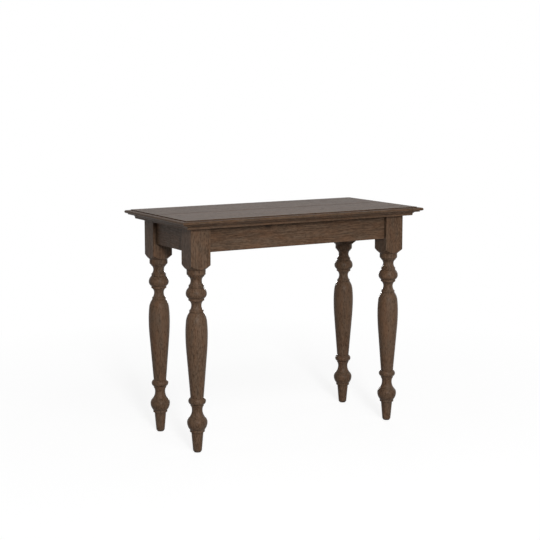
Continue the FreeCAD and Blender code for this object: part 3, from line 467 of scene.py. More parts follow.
# The legs get the deepest painted shade in their quirks.
stain_upright = wood("stained_wood_upright", UPRIGHT, (0.75, 0.66, 0.0), STAIN,
                     sheen=0.39, flecks=2.9, painted_quirk_depth=0.85, turned=VASE)
stain_apron = wood("stained_wood_front_apron", LENGTHWISE, (0.0, 0.80, 0.60), STAIN, knot=KNOT)

# %% [markdown]
# ## Bare wood, metal and nylon
#
# What nobody looks at is left bare: pale planed beech for slides and blocks. It is the same wood finish with
# other tones, a quieter figure and fewer pores. The fasteners are zinc plated, the locks brassed steel and
# the glides moulded nylon. One even colour would look like paint on them, so the plating is cloudy and
# finely scratched, and the nylon grained and scuffed.

# %% Bare beech
BEECH = ((0.30, 0.19, 0.105), (0.43, 0.29, 0.17), (0.54, 0.39, 0.245))
PLAIN_WOOD = {"figure": 0.6, "pore": 0.5}
beech_length = wood("bare_beech_lengthwise", LENGTHWISE, (0.0, 0.5, 0.87), BEECH, sheen=0.62, **PLAIN_WOOD)
beech_depth = wood("bare_beech_depthwise", DEPTHWISE, (0.8, 0.0, 0.6), BEECH, sheen=0.58, **PLAIN_WOOD)
beech_aslant = {}
for slope, turn in (("rising", -1), ("falling", 1)):
    beech_aslant[slope] = wood(f"bare_beech_aslant_{slope}", LENGTHWISE, (0.0, 0.4, 0.92), BEECH, sheen=0.62,
                               aslant=math.radians(45) * turn, **PLAIN_WOOD)

# %% Plated steel and nylon
# How often each speckle changes in a metre, and its detail.
SPECKLES = {"cloud": (160.0, 4.0), "scratch": (120.0, 2.0), "mould": (900.0, 3.0), "scuff": (140.0, 4.0)}
SCRATCH_TURN = (0.0, 0.0, 0.6)
SCRATCH_STRETCH = (1.0, 24.0, 24.0)
CLOUD_RANGE, SHINE_RANGE = (0.35, 0.68), (0.35, 0.65)
SCUFF_RANGE, NYLON_SHEEN = (0.45, 0.75), (0.3, 0.7, 0.45, 0.65)
SCRATCH_STRENGTH, MOULD_STRENGTH, FINE_DEPTH = 0.25, 0.2, 0.05 * MM


def speckle(tree, place, kind):
    scale, detail = SPECKLES[kind]
    return add_node(tree, "TexNoise", {"Vector": place, "Scale": scale, "Detail": detail}).outputs["Fac"]


def plated(name, bright, dull, smooth, rough):
    material, tree, shader = new_finish(name)
    place = add_node(tree, "TexCoord").outputs["Object"]
    cloud = speckle(tree, place, "cloud")
    stretched = {"Vector": place, "Rotation": SCRATCH_TURN, "Scale": SCRATCH_STRETCH}
    scratch = speckle(tree, add_node(tree, "Mapping", stretched).outputs[0], "scratch")
    colour = blend(tree, remap(tree, cloud, *CLOUD_RANGE), opaque(bright), opaque(dull))
    tree.links.new(colour, shader.inputs["Base Color"])
    mean = calc(tree, "MULTIPLY", calc(tree, "ADD", cloud, scratch), 0.5)
    tree.links.new(remap(tree, mean, *SHINE_RANGE, smooth, rough), shader.inputs["Roughness"])
    raise_surface(tree, shader, scratch, SCRATCH_STRENGTH, FINE_DEPTH)
    shader.inputs["Metallic"].default_value = 1.0
    print("finish", name)
    return material


def moulded_nylon(name, dark, light):
    material, tree, shader = new_finish(name)
    place = add_node(tree, "TexCoord").outputs["Object"]
    mould = speckle(tree, place, "mould")
    scuff = speckle(tree, place, "scuff")
    colour = blend(tree, remap(tree, scuff, *SCUFF_RANGE), opaque(dark), opaque(light))
    tree.links.new(colour, shader.inputs["Base Color"])
    tree.links.new(remap(tree, scuff, *NYLON_SHEEN), shader.inputs["Roughness"])
    raise_surface(tree, shader, mould, MOULD_STRENGTH, FINE_DEPTH)
    print("finish", name)
    return material


zinc = plated("zinc_plate", (0.64, 0.64, 0.62), (0.44, 0.45, 0.45), 0.28, 0.48)
brass = plated("brassed_steel", (0.60, 0.44, 0.20), (0.38, 0.26, 0.11), 0.26, 0.46)
nylon = moulded_nylon("brown_nylon", (0.030, 0.022, 0.017), (0.065, 0.052, 0.043))

# %% [markdown]
# ## Building pieces
#
# The CAD solids have knife-sharp corners. Real wood is sanded, and the soft line of light along each corner
# is what makes it look made. A bevel modifier would stumble over the triangles of the CAD meshes, so the
# pieces that show are built again, with corners turned over a small radius. One helper rounds the corners
# of an outline, the next puts faces between rows of points, and the last turns a finished mesh into a piece
# that rides on its body and stands for its CAD node.

# %% Outlines and rows
NO_LENGTH = 1e-9
CLEAR_CORNER = math.radians(20)
MOST_CUT = 0.45


def soften(points, reach, steps=3):
    """Turn each clear corner of an open outline into a short curve."""
    path = [Vector(p) for p in points]
    soft = [path[0]]
    for before, here, after in zip(path, path[1:], path[2:]):
        arrive, leave = here - before, after - here
        if min(arrive.length, leave.length) < NO_LENGTH or arrive.angle(leave) < CLEAR_CORNER:
            soft.append(here)
            continue
        cut = min(reach, MOST_CUT * arrive.length, MOST_CUT * leave.length)
        start = here - arrive.normalized() * cut
        end = here + leave.normalized() * cut
        for step in range(steps + 1):
            t = step / steps
            soft.append(start * (1 - t) ** 2 + here * (2 * t * (1 - t)) + end * t ** 2)
    soft.append(path[-1])
    return soft


def quads_between(mesh, rows, closed):
    """Faces between rows of vertices that follow each other."""
    for low, high in zip(rows, rows[1:]):
        count = len(low)
        for index in range(count if closed else count - 1):
            after = (index + 1) % count
            mesh.faces.new((low[index], low[after], high[after], high[index]))


print("a right angle becomes", len(soften([(0, 0), (1, 0), (1, 1)], 0.1)) - 2, "points")

# %% A mesh becomes a piece
BODY_OF = {node: body for body, nodes in frame["record"]["behaviour"]["bodies"].items() for node in nodes}
SAME_POINT = 1e-6
SHARP_ANGLE = math.radians(35)
LARGE_FACES_FIRST = 90


def finish_piece(name, mesh, node, material):
    """Close a bmesh, give it its finish and let it stand for its CAD node, on that node's body."""
    bmesh.ops.remove_doubles(mesh, verts=mesh.verts, dist=SAME_POINT)
    bmesh.ops.recalc_face_normals(mesh, faces=mesh.faces)
    data = bpy.data.meshes.new(name)
    mesh.to_mesh(data)
    mesh.free()
    data.materials.append(material)
    data.shade_smooth()
    data.set_sharp_from_angle(angle=SHARP_ANGLE)
    piece = bpy.data.objects.new(name, data)
    scene.collection.objects.link(piece)
    level = piece.modifiers.new("even_faces", "WEIGHTED_NORMAL")
    level.weight = LARGE_FACES_FIRST
    level.keep_sharp = True
    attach(piece, BODY_OF[node])
    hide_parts(node)
    return piece


# %% [markdown]
# ## Turned legs
#
# A leg is turned from a square blank. The lathe cuts foot, ball, ring, vase and bulb; the head stays square,
# and the cutter leaves curved shoulders where its cone runs into the flat faces. Spinning an outline would
# give the round part alone, and a box set on it would show a seam. So the head's square outline is carried
# down through every ring, and both parts share the same uprights. One list says what the tool does on its
# way up.

# %% The tool's way up the leg
# Radius and height of the foot's points. Then every cut has its rise and the radius where it ends, in
# millimetres, and a swell also says how far it bulges.
STEP, STRAIGHT, ROUND, HOLLOW, SWELL = "step straight round hollow swell".split()
FOOT = [(11.3, 3.0), (12.2, 3.2), (13.4, 4.1), (14.1, 5.0), (14.3, 6.0)]
LEG_CUTS = [
    (STRAIGHT, 62.0, 19.9), (STEP, 0.0, 24.1), (STRAIGHT, 7.0, 24.1),
    (ROUND, 24.0, 33.0), (ROUND, 13.2, 28.0), (HOLLOW, 27.3, 17.1), (HOLLOW, 13.4, 20.4),
    (STEP, 0.0, 21.3), (STRAIGHT, 4.8, 21.3), (SWELL, 22.3, 21.3, 7.1),
    (STRAIGHT, 153.0, 33.6), (ROUND, 56.0, 35.8), (ROUND, 42.0, 33.5), (SWELL, 28.2, 21.8, 2.2),
    (STEP, 0.0, 23.0), (STRAIGHT, 5.6, 23.0), (STEP, 0.0, 21.4), (HOLLOW, 16.0, 16.3), (HOLLOW, 15.7, 23.6),
    (STEP, 0.0, 25.4), (STRAIGHT, 7.0, 25.4), (ROUND, 14.6, 33.6), (ROUND, 20.4, 23.6),
    (STEP, 0.0, 24.4), (STRAIGHT, 7.2, 24.4), (STEP, 0.0, 23.2), (HOLLOW, 14.2, 18.1), (HOLLOW, 14.0, 24.6),
    (STEP, 0.0, 25.7), (STRAIGHT, 3.3, 25.7), (ROUND, 5.4, 30.4), (STRAIGHT, 12.9, 30.4),
]
print(len(LEG_CUTS), "cuts above the foot")

# %% Outline of the turning
ARC_STEP = 6
LEAST_STEPS = 4
LEG_EASE = 0.55


def arc_points(start, end, radius, outward):
    """Points after start on the shorter arc to end, which swells outward or is hollow."""
    chord = end - start
    to_axis = Vector((-chord.y, chord.x)).normalized()
    reach = math.sqrt(max(0.0, radius ** 2 - chord.length_squared / 4))
    centre = (start + end) / 2 + to_axis * (reach if outward else -reach)
    first, last = start - centre, end - centre
    turn = first.angle_signed(last)
    steps = max(LEAST_STEPS, math.ceil(abs(math.degrees(turn)) / ARC_STEP))
    angles = [math.atan2(first.y, first.x) - turn * i / steps for i in range(1, steps)]
    return [*[centre + Vector((math.cos(a), math.sin(a))) * radius for a in angles], end]


def leg_outline():
    points = [Vector(p) for p in FOOT]
    for kind, rise, radius, *bulge in LEG_CUTS:
        here = points[-1]
        there = Vector((radius, here.y + rise))
        if kind in (STEP, STRAIGHT):
            points.append(there)
            continue
        change = abs(radius - here.x)
        if kind == SWELL:
            bend = ((there - here).length_squared / bulge[0] / 8) + bulge[0] / 2
        else:
            bend = (rise ** 2 + change ** 2) / (2 * change)
        points += arc_points(here, there, bend, kind != HOLLOW)
    return soften(points, LEG_EASE)


LEG_OUTLINE = leg_outline()
print("leg outline:", len(LEG_OUTLINE), "points, up to", round(LEG_OUTLINE[-1].y, 2), "mm")

# %% Square head on the same uprights
# The seat is the flat, across the head's inner corner, that the corner block is bolted against.
HEAD_HALF = 34.5
HEAD_CORNER = 1.2
HEAD_EASE = 0.6
HEAD_TOP = 743.0
CONE_SLOPE = 15.8 / 18.5
SEAT_LEVEL = 693.0
SEAT_SUM = 61.0
SIDE_STEPS = 26
CORNER_STEPS = 4


def four_quarters(points):
    """The points of one quarter, and again with each quarter turn."""
    made = []
    for _ in range(4):
        made += points
        points = [Vector((-point.y, point.x)) for point in points]
    return made


def head_outline():
    """Points round the square head, one side and its corner after the other."""
    inner = HEAD_HALF - HEAD_CORNER
    reach = math.atan2(inner, HEAD_HALF)
    sideways = [reach * (2 * i / SIDE_STEPS - 1) for i in range(SIDE_STEPS)]
    side = [Vector((HEAD_HALF, HEAD_HALF * math.tan(a))) for a in sideways]
    angles = [math.pi / 2 * i / CORNER_STEPS for i in range(CORNER_STEPS)]
    corner = [Vector((inner, inner)) + Vector((math.cos(a), math.sin(a))) * HEAD_CORNER for a in angles]
    return four_quarters(side + corner)


def upright(outer):
    """Reaches and heights of the head along one upright, whose full reach is the outline's."""
    start = LEG_OUTLINE[-1]
    full = outer.length
    total = outer.x + outer.y
    seat = full * SEAT_SUM / total if total > SEAT_SUM else full
    arris = start.y + (full - start.x) * CONE_SLOPE
    lower = soften([start, (full, arris), (full, SEAT_LEVEL)], HEAD_EASE)
    return [*lower[1:], Vector((seat, SEAT_LEVEL)), Vector((seat, HEAD_TOP))]


HEAD_OUTLINE = head_outline()
print("head outline:", len(HEAD_OUTLINE), "points")

# %% Four legs
SIDES = {"left": -1, "right": 1}
HALVES = {"front": -1, "rear": 1}
LEG_X, LEG_Y = 375.0, 139.0


def turned_leg(half, hand):
    mesh = bmesh.new()
    side, sign = SIDES[hand], HALVES[half]
    uprights = [[*LEG_OUTLINE, *upright(outer)] for outer in HEAD_OUTLINE]
    rows = []
    for level in zip(*uprights):
        row = []
        for outer, spot in zip(HEAD_OUTLINE, level):
            flat = outer.normalized() * spot.x
            x, y = (LEG_X - flat.x) * side, (LEG_Y - flat.y) * sign
            row.append(mesh.verts.new((x * MM, y * MM, spot.y * MM)))
        rows.append(row)
    quads_between(mesh, rows, closed=True)
    mesh.faces.new(rows[0])
    mesh.faces.new(rows[-1])
    return finish_piece(f"turned_leg_{half}_{hand}", mesh, f"{half}_{hand}_leg", stain_upright)


for half in HALVES:
    for hand in SIDES:
        leg = turned_leg(half, hand)
        print(leg.name, len(leg.data.polygons), "faces")

# %% [markdown]
# ## Top boards
#
# The edge is moulded with a step, a flat ledge, a half-round nose and an undercut, on three sides of each
# half. A curve with a bevel could carry such a section, but its mitres wouldn't be exact, and the fourth
# side is different. So the section is drawn once, and each of its points becomes a row round two mitred
# corners. The fourth side is the seam: straight, with a small chamfer above, and on the front half with the
# four holes that take the dowels.

# %% Edge section
TOP_LENGTH = 920.0
TOP_DEPTH = 448.0
TOP_LEVEL = 760.0
SEAM_CHAMFER = 2.4
CHAMFER_LEVEL = TOP_LEVEL - SEAM_CHAMFER
STEP_IN = 16.5
NOSE_RADIUS = 5.0
NOSE_LEVEL = 752.0
NOSE_STEPS = 16
UNDERCUT_IN = 9.0
BEYOND = 7.0
EDGE_EASE, LEDGE_EASE = 0.6, 0.5


def board_section():
    """Distance in from the nose, and height, from the flat top round to the underside."""
    angles = [math.pi * i / NOSE_STEPS for i in range(NOSE_STEPS + 1)]
    nose = [Vector((NOSE_RADIUS - NOSE_RADIUS * math.sin(a), NOSE_LEVEL + NOSE_RADIUS * math.cos(a)))
            for a in angles]
    ledge, undercut = NOSE_LEVEL + NOSE_RADIUS, NOSE_LEVEL - NOSE_RADIUS
    flat, below = (STEP_IN + BEYOND, TOP_LEVEL), (UNDERCUT_IN + BEYOND, HEAD_TOP)
    upper = soften([flat, (STEP_IN, TOP_LEVEL), (STEP_IN, CHAMFER_LEVEL)], EDGE_EASE)[1:]
    lower = soften([(STEP_IN, CHAMFER_LEVEL), (STEP_IN, ledge), nose[0]], LEDGE_EASE)[1:-1]
    under = soften([nose[-1], (UNDERCUT_IN, undercut), (UNDERCUT_IN, HEAD_TOP), below], EDGE_EASE)[1:-1]
    return [*upper, *lower, *nose, *under]


print("edge section of", len(board_section()), "points")

# %% Dowel sockets
SEAM = 0.02
SOCKET_RADIUS = 4.1
SOCKET_DEPTH = 18.6
SOCKET_LEVEL = 751.5
SOCKET_STEPS = 32
DOWEL_PLACES = (-350.0, -69.8873, 69.8873, 350.0)


def loop_edges(mesh, loop):
    """The edges of a closed loop of vertices, made where they are missing."""
    return [mesh.edges.get((a, b)) or mesh.edges.new((a, b)) for a, b in zip(loop, loop[1:] + loop[:1])]


def dowel_sockets(mesh, sign):
    """Blind holes in the seam face; returns the edges of their mouths."""
    angles = [2 * math.pi * i / SOCKET_STEPS for i in range(SOCKET_STEPS)]
    mouths = []
    for place in DOWEL_PLACES:
        ring = [(place + SOCKET_RADIUS * math.cos(a), SOCKET_LEVEL + SOCKET_RADIUS * math.sin(a))
                for a in angles]
        rows = [[mesh.verts.new((x * MM, deep * sign * MM, z * MM)) for x, z in ring]
                for deep in (SEAM, SEAM + SOCKET_DEPTH)]
        quads_between(mesh, rows, closed=True)
        mesh.faces.new(rows[1])
        mouths += loop_edges(mesh, rows[0])
    return mouths


print("dowels at", DOWEL_PLACES)

# %% Two boards
def top_board(half):
    mesh = bmesh.new()
    sign = HALVES[half]
    section = board_section()
    rows = []
    for inset, height in section:
        x, y = TOP_LENGTH / 2 - inset, TOP_DEPTH / 2 - inset
        end = SEAM + max(0.0, height - CHAMFER_LEVEL)
        corners = [(-x, end), (-x, y), (x, y), (x, end)]
        rows.append([mesh.verts.new((px * MM, py * sign * MM, height * MM)) for px, py in corners])
    quads_between(mesh, rows, closed=False)
    mesh.faces.new(rows[0])
    mesh.faces.new(rows[-1])
    chamfer = next(i for i, (inset, height) in enumerate(section) if height <= CHAMFER_LEVEL + SAME_POINT)
    left, right = [row[0] for row in rows], [row[3] for row in rows]
    mesh.faces.new([*left[:chamfer + 1], *reversed(right[:chamfer + 1])])
    edges = loop_edges(mesh, [*left[chamfer:], *reversed(right[chamfer:])])
    if half == "front":
        edges += dowel_sockets(mesh, sign)
    bmesh.ops.triangle_fill(mesh, use_beauty=True, edges=edges)
    return finish_piece(f"top_board_{half}", mesh, f"{half}_top", stain_top)


for half in HALVES:
    board = top_board(half)
    print(board.name, len(board.data.polygons), "faces")

# %% [markdown]
# ## Cove mouldings
#
# A hollow moulding runs under the edge of the top, one long strip and two short returns on each half, mitred
# at the corners. Cutting mitres with a boolean would leave ragged triangles. Here each strip is its closed
# section carried between two ends, and a mitred end is the same section with every point pushed out to the
# diagonal.

# %% Cove section
COVE_LIP, COVE_FOOT = Vector((19.0, 742.0)), Vector((27.0, 731.5))
COVE_HOLLOW = 2.6
COVE_UNDER = 730.0
COVE_BACK = 50.5
COVE_STEPS = 10
COVE_EASE = 0.5


def cove_section():
    """Distance in from the nose, and height, round the moulding."""
    chord = (COVE_FOOT - COVE_LIP).length
    radius = chord ** 2 / (COVE_HOLLOW * 8) + COVE_HOLLOW / 2
    across = Vector((COVE_LIP.y - COVE_FOOT.y, COVE_FOOT.x - COVE_LIP.x)).normalized()
    centre = (COVE_LIP + COVE_FOOT) / 2 - across * (radius - COVE_HOLLOW)
    first = math.atan2(*(COVE_LIP - centre).yx)
    last = math.atan2(*(COVE_FOOT - centre).yx)
    turn = (last - first + math.pi) % (2 * math.pi) - math.pi
    angles = [first + turn * i / COVE_STEPS for i in range(COVE_STEPS + 1)]
    cove = [centre + Vector((math.cos(a), math.sin(a))) * radius for a in angles]
    back = [(COVE_FOOT.x, COVE_UNDER), (COVE_BACK, COVE_UNDER), (COVE_BACK, HEAD_TOP)]
    return soften([(COVE_LIP.x, HEAD_TOP), *cove, *back], COVE_EASE)


print("cove section of", len(cove_section()), "points")

# %% Cove strips
def cove_strip(name, node, ends, material):
    """A strip between two ends; each end says where a point of the section goes for its inset."""
    mesh = bmesh.new()
    section = cove_section()
    rows = [[mesh.verts.new((*[c * MM for c in end(p.x)], p.y * MM)) for p in section] for end in ends]
    quads_between(mesh, rows, closed=True)
    for row in rows:
        mesh.faces.new(row)
    return finish_piece(name, mesh, node, material)


def mitre(side, sign):
    return lambda inset: ((TOP_LENGTH / 2 - inset) * side, (TOP_DEPTH / 2 - inset) * sign)


def seam_end(side, sign):
    return lambda inset: ((TOP_LENGTH / 2 - inset) * side, SEAM * sign)


for half, sign in HALVES.items():
    strip = cove_strip(f"cove_strip_{half}", f"{half}_edge_moulding", [mitre(-1, sign), mitre(1, sign)],
                       stain_length)
    for hand, side in SIDES.items():
        cove_strip(f"cove_return_{half}_{hand}", f"{half}_{hand}_edge_moulding",
                   [seam_end(side, sign), mitre(side, sign)], stain_depth)
    print(strip.name, "and its returns,", len(strip.data.polygons), "faces each")

# %% [markdown]
# ## Aprons
#
# The aprons are plain boards between the legs, with their lower edges eased, and at the seam the upright
# ones too. A bevel modifier would round every edge, also those that meet the top and the legs. So each board
# is a box on which only the edges that a hand can reach are bevelled. The tenons stay hidden in the legs.

# %% Apron boards
APRON_UNDER = 650.5
APRON_EASE = 1.0
EASE_STEPS = 4
CLOSE = 1.0


def apron_board(name, node, low, high, eased, material):
    """A board from its lowest to its highest corner; eased tells which of its edges are rounded."""
    mesh = bmesh.new()
    bmesh.ops.create_cube(mesh, size=1.0)
    for vert in mesh.verts:
        vert.co = Vector([(a if c < 0 else b) * MM for c, a, b in zip(vert.co, low, high)])
    edges = [edge for edge in mesh.edges if eased(*[(v.co / MM) for v in edge.verts])]
    bmesh.ops.bevel(mesh, geom=edges, offset=APRON_EASE * MM, segments=EASE_STEPS, profile=0.5,
                    affect="EDGES")
    return finish_piece(name, mesh, node, material)


def lower_edge(axis):
    """Tells whether an edge runs along an axis at the bottom of the board."""
    return lambda a, b: max(a.z, b.z) < APRON_UNDER + CLOSE and abs(a[axis] - b[axis]) > CLOSE


def end_board_edge(a, b):
    at_seam = max(abs(a.y), abs(b.y)) < SEAM + CLOSE and abs(a.z - b.z) > CLOSE
    return at_seam or lower_edge(DEPTHWISE)(a, b)


print("apron edges are rounded over", APRON_EASE, "mm")

# %% Aprons between the legs
APRON_SETBACK = 11.5
APRON_THICK = 20.0
LONG_HALF = LEG_X - HEAD_HALF
SHORT_END = LEG_Y - HEAD_HALF
LONG_FACE = LEG_Y + HEAD_HALF - APRON_SETBACK
END_FACE = LEG_X + HEAD_HALF - APRON_SETBACK
for half, sign in HALVES.items():
    inner, outer = sorted(((LONG_FACE - APRON_THICK) * sign, LONG_FACE * sign))
    board = apron_board(f"apron_{half}", f"{half}_apron",
                        (-LONG_HALF, inner, APRON_UNDER), (LONG_HALF, outer, HEAD_TOP),
                        lower_edge(LENGTHWISE), stain_apron if half == "front" else stain_length)
    for hand, side in SIDES.items():
        near, far = sorted(((END_FACE - APRON_THICK) * side, END_FACE * side))
        first, last = sorted((SEAM * sign, SHORT_END * sign))
        apron_board(f"end_apron_{half}_{hand}", f"{half}_{hand}_end_apron",
                    (near, first, APRON_UNDER), (far, last, HEAD_TOP), end_board_edge, stain_depth)
    print(board.name, "and its end aprons")

# %% [markdown]
# ## Slides, blocks and locks
#
# The hidden wood and the locks have the right shape in the CAD model, only with knife-sharp edges. A plane
# and a file take those off. Building each of them again would say the same twice, so a copy of the CAD mesh
# is worked on: the triangles of each flat face are joined again and the long outward corners rounded.
# Drilled holes stay crisp. Pins, dowels, glides and levers get every rim rounded, and the rivets and studs
# of the locks are domed.

# %% Copies of CAD pieces
FLAT_ANGLE = math.radians(0.5)
ROUND_STEPS = 3


def cad_copy(node):
    """A CAD node's mesh to build on, with the triangles of each flat face joined."""
    mesh = bmesh.new()
    mesh.from_mesh(frame["nodes"][node].data)
    bmesh.ops.remove_doubles(mesh, verts=mesh.verts, dist=SAME_POINT)
    bmesh.ops.dissolve_limit(mesh, angle_limit=FLAT_ANGLE, verts=mesh.verts, edges=mesh.edges)
    return mesh


def outward_corners(mesh, chosen):
    """Edges that stick out sharply and are chosen."""
    return [edge for edge in mesh.edges
            if edge.is_convex and edge.calc_face_angle(0.0) > SHARP_ANGLE and chosen(edge)]


def round_over(mesh, edges, reach, keep_apart):
    bmesh.ops.bevel(mesh, geom=edges, offset=reach * MM, segments=ROUND_STEPS, profile=0.5, affect="EDGES",
                    clamp_overlap=keep_apart)


print("corners over", round(math.degrees(SHARP_ANGLE)), "degrees are rounded")

# %% Eased pieces
EASE = {"_block": 0.6, "_slide": 0.6, "_tie": 0.6, "_plate": 0.35, "_keeper": 0.35,
        "_lever": 0.4, "_pins": 0.5, "_dowels": 0.8, "_glides": 0.9}
ROUND_PIECES = ("_lever", "_pins", "_dowels", "_glides")
RIVETED = ("_plate", "_keeper")
LONG_EDGE = 4.0
RIVET_DOME = 0.7
RIVET_SKIN = 0.01
FINISH_OF = {"_plate": brass, "_keeper": brass, "_lever": brass, "_pins": zinc, "_glides": nylon,
             "_slide": beech_depth, "_dowels": beech_depth, "_block": beech_length, "_tie": beech_length}


def eased_piece(node, kind, material):
    mesh = cad_copy(node)
    lowest = min(vert.co.z for vert in mesh.verts)
    rims = kind in ROUND_PIECES
    edges = outward_corners(mesh, lambda edge: rims or edge.calc_length() > LONG_EDGE * MM)
    round_over(mesh, edges, EASE[kind], rims)
    if kind in RIVETED:
        skin = lowest + RIVET_SKIN * MM
        rivet = outward_corners(mesh, lambda edge: max(vert.co.z for vert in edge.verts) < skin)
        round_over(mesh, rivet, RIVET_DOME, True)
    return finish_piece(f"eased_{node}", mesh, node, material)


def hidden_finish(node, kind):
    """Corner blocks lie across their corners, so their grain rises or falls in plan."""
    if node.endswith("_corner_block"):
        falling = node.startswith("front") == ("_left_" in node)
        return beech_aslant["falling" if falling else "rising"]
    return FINISH_OF[kind]


for node in frame["nodes"]:
    for kind in EASE:
        if node.endswith(kind):
            piece = eased_piece(node, kind, hidden_finish(node, kind))
            print(piece.name, len(piece.data.polygons), "faces,", piece.data.materials[0].name)

# %% [markdown]
# ## Screws, bolts and nuts
#
# In the CAD model the fasteners are plain pegs. Seen from below, they need what a hand would look for: a
# domed head with a cross recess, a thread that winds up the shank, a six-sided nut on a flange. Booleans
# would cut a cross too, but slowly and with untidy faces. Here each fastener is a stack of rings round its
# own axis. A ring may be a circle, a cross or a hexagon, as long as all have the same number of points. The
# places come from the CAD nodes: every loose part of a node is one fastener.

# %% Rings round an axis
ARM_LONG, ARM_HALF = 0.60, 0.15
ARM_MIDDLE = (ARM_LONG + ARM_HALF) / 2
CROSS_QUARTER = [(ARM_LONG, 0.0), (ARM_LONG, ARM_HALF), (ARM_MIDDLE, ARM_HALF), (ARM_HALF, ARM_HALF),
                 (ARM_HALF, ARM_MIDDLE), (ARM_HALF, ARM_LONG)]
CROSS = four_quarters([Vector(point) for point in CROSS_QUARTER])
THREAD_STEPS = 5
RIDGE_HALF, RIDGE_FLANK = 0.36, 0.24


def circle(radius, reach):
    return [(*(point.normalized() * radius), reach) for point in CROSS]


def thread(start, end, core, crest, pitch):
    """Rings from one reach to the other whose ridge winds round the axis and runs out at both ends."""
    rings = []
    steps = round((end - start) / pitch * THREAD_STEPS)
    for step in range(steps + 1):
        reach = start + (end - start) * step / steps
        run_out = min(1.0, (reach - start) / pitch, (end - reach) / pitch)
        ring = []
        for point in CROSS:
            phase = (reach / pitch - math.atan2(point.y, point.x) / (2 * math.pi)) % 1.0
            ridge = min(1.0, max(0.0, (RIDGE_HALF - abs(phase - 0.5)) / RIDGE_FLANK))
            radius = core + (crest - core) * ridge * run_out
            ring.append((*(point.normalized() * radius), reach))
        rings.append(ring)
    return rings


print(len(CROSS), "points in each ring")

# %% Fasteners on their places
def loose_parts(node):
    """Points of each separate fastener of a CAD node, in millimetres."""
    mesh = cad_copy(node)
    seen = set()
    parts = []
    for start in mesh.verts:
        if start in seen:
            continue
        seen.add(start)
        part = [start]
        for vert in part:
            for edge in vert.link_edges:
                other = edge.other_vert(vert)
                if other not in seen:
                    seen.add(other)
                    part.append(other)
        parts.append([vert.co / MM for vert in part])
    mesh.free()
    return parts


def stack(mesh, points, out, make_rings, hollow=False):
    """Build rings on the axis of one fastener; reaches count from its first point along out."""
    across = out.orthogonal().normalized()
    beside = out.cross(across)
    spans = [sorted(point.dot(way) for point in points) for way in (across, beside, out)]
    middle = [(span[0] + span[-1]) / 2 for span in spans]
    seat = across * middle[0] + beside * middle[1] + out * spans[2][0]
    rows = [[mesh.verts.new((seat + across * x + beside * y + out * z) * MM) for x, y, z in ring]
            for ring in make_rings(spans[2][-1] - spans[2][0])]
    if hollow:
        quads_between(mesh, [*rows, rows[0]], closed=True)
        return
    quads_between(mesh, rows, closed=True)
    mesh.faces.new(rows[0])
    mesh.faces.new(rows[-1])


def fasteners(name, node, outward, rings, hollow=False):
    """All fasteners of a CAD node as one piece; outward gives the way that each one points."""
    mesh = bmesh.new()
    places = loose_parts(node)
    for points in places:
        stack(mesh, points, outward(points), rings, hollow)
    piece = finish_piece(name, mesh, node, zinc)
    print(piece.name, len(places), "pieces,", len(piece.data.polygons), "faces")


# %% Wood screws
# The sizes are the head's radius and height and the shank's radius. CORE to PITCH are shares of the shank's
# radius, DOME of the head's, RIM and RECESS of the head's radius and height.
LARGE, SMALL = (4.2, 3.0, 2.5), (3.4, 1.8, 1.75)
CORE, TIP, NECK, POINT_RUN, NECK_RUN, PITCH = 0.70, 0.12, 0.92, 1.8, 0.5, 1.1
THREADED = 0.68
RIM = ((0.95, 0.0), (1.0, 0.1), (1.0, 0.40))
DOME = (0.96, 0.88, 0.78, 0.66)
RECESS = ((0.80, 0.45), (0.22, 0.15))
DOWN = Vector((0.0, 0.0, -1.0))
SCREWS = {"front_top_screws": LARGE, "rear_top_screws": LARGE, "tie_screws": LARGE,
          "lock_plate_screws": SMALL, "keeper_screws": SMALL}


def wood_screw(head, height, shank):
    """Rings of a screw from its point to the cross in its domed head."""
    def rings(length):
        seat = length - height
        plain = seat * THREADED

        def dome(radius):
            return seat + height * (1.0 - 0.5 * (radius / head) ** 4)

        made = [circle(shank * TIP, 0.0)]
        made += thread(shank * POINT_RUN, plain, shank * CORE, shank, shank * PITCH)
        made += [circle(shank * NECK, plain + shank * NECK_RUN), circle(shank * NECK, seat)]
        made += [circle(head * wide, seat + height * up) for wide, up in RIM]
        made += [circle(head * wide, dome(head * wide)) for wide in DOME]
        made.append([(*(point * head), dome(point.length * head)) for point in CROSS])
        made += [[(*(point * head * wide), seat + height * up) for point in CROSS] for wide, up in RECESS]
        return made

    return rings


for node, sizes in SCREWS.items():
    fasteners(f"cross_head_{node}", node, lambda points: DOWN, wood_screw(*sizes))

# %% Hanger bolts and flange nuts
BOLT = 4.0
WOOD_THREAD = (2.5, 33.0, 2.9, BOLT, 3.2)
COLLAR, COLLAR_FROM, COLLAR_TO = 3.75, 34.0, 37.0
MACHINE_CORE, MACHINE_PITCH = 3.35, 1.25
BOLT_TIP, BOLT_END, RUN_IN = 0.5, 3.0, 0.4
NUT_HALF, BORE = 6.5, 4.1
SIXTH = math.radians(60)
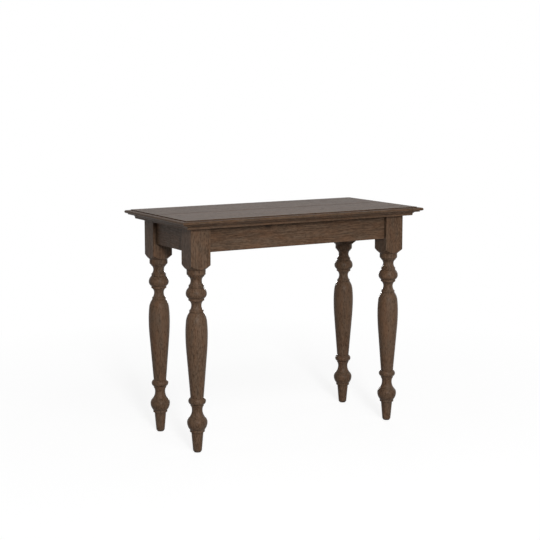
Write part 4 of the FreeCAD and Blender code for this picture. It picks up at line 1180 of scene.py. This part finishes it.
# Radius and height of the rings from the bearing face over the flange.
FLANGE = ((BORE, 0.0), (8.6, 0.0), (9.0, 0.4), (9.0, 1.1), (8.7, 1.5))
FILLET, FILLET_LEVEL, FLATS_LEVEL = 0.2, 2.3, 2.9
TOP_SHARE, EDGE_DROP, CHAMFER_SLOPE = 0.96, 0.15, 0.58
SINK, SINK_DEPTH = 0.7, 0.6


def hanger_bolt(length):
    """A wood thread that bites into the leg, a plain collar and a machine thread for the nut."""
    machine_thread = thread(COLLAR_TO + RUN_IN, length - RUN_IN, MACHINE_CORE, BOLT, MACHINE_PITCH)
    return [circle(BOLT_TIP, 0.0), *thread(*WOOD_THREAD), circle(COLLAR, COLLAR_FROM),
            circle(COLLAR, COLLAR_TO), *machine_thread, circle(BOLT_END, length)]


def flange_nut(height):
    """Rings round the section of the nut: bearing face, flange, six flats, chamfer and bore."""
    corners = []
    for point in CROSS:
        angle = math.atan2(point.y, point.x) % SIXTH
        corners.append((point.normalized(), NUT_HALF / math.cos(angle - SIXTH / 2)))
    foot = [(*(way * (reach + FILLET)), FILLET_LEVEL) for way, reach in corners]
    flats = [(*(way * reach), FLATS_LEVEL) for way, reach in corners]
    edge = [(*(way * reach), height - EDGE_DROP - (reach - NUT_HALF) * CHAMFER_SLOPE)
            for way, reach in corners]
    return [*[circle(*ring) for ring in FLANGE], foot, flats, edge, circle(NUT_HALF * TOP_SHARE, height),
            circle(BORE + SINK, height), circle(BORE, height - SINK_DEPTH)]


def to_the_middle(points):
    return Vector([-math.copysign(1.0, points[0].x), -math.copysign(1.0, points[0].y), 0.0]).normalized()


for half in HALVES:
    for kind, rings, hollow in (("hanger_bolts", hanger_bolt, False), ("hanger_nuts", flange_nut, True)):
        fasteners(f"modelled_{half}_{kind}", f"{half}_{kind}", to_the_middle, rings, hollow)

# %% [markdown]
# ## CAD pieces still shown
#
# By now a modelled piece should stand for every CAD piece, so none of those is left to be shown. The last
# line prints any that still are.

kept = [node for node, thing in frame["nodes"].items() if not thing.hide_render]
print("CAD pieces still shown:", kept)
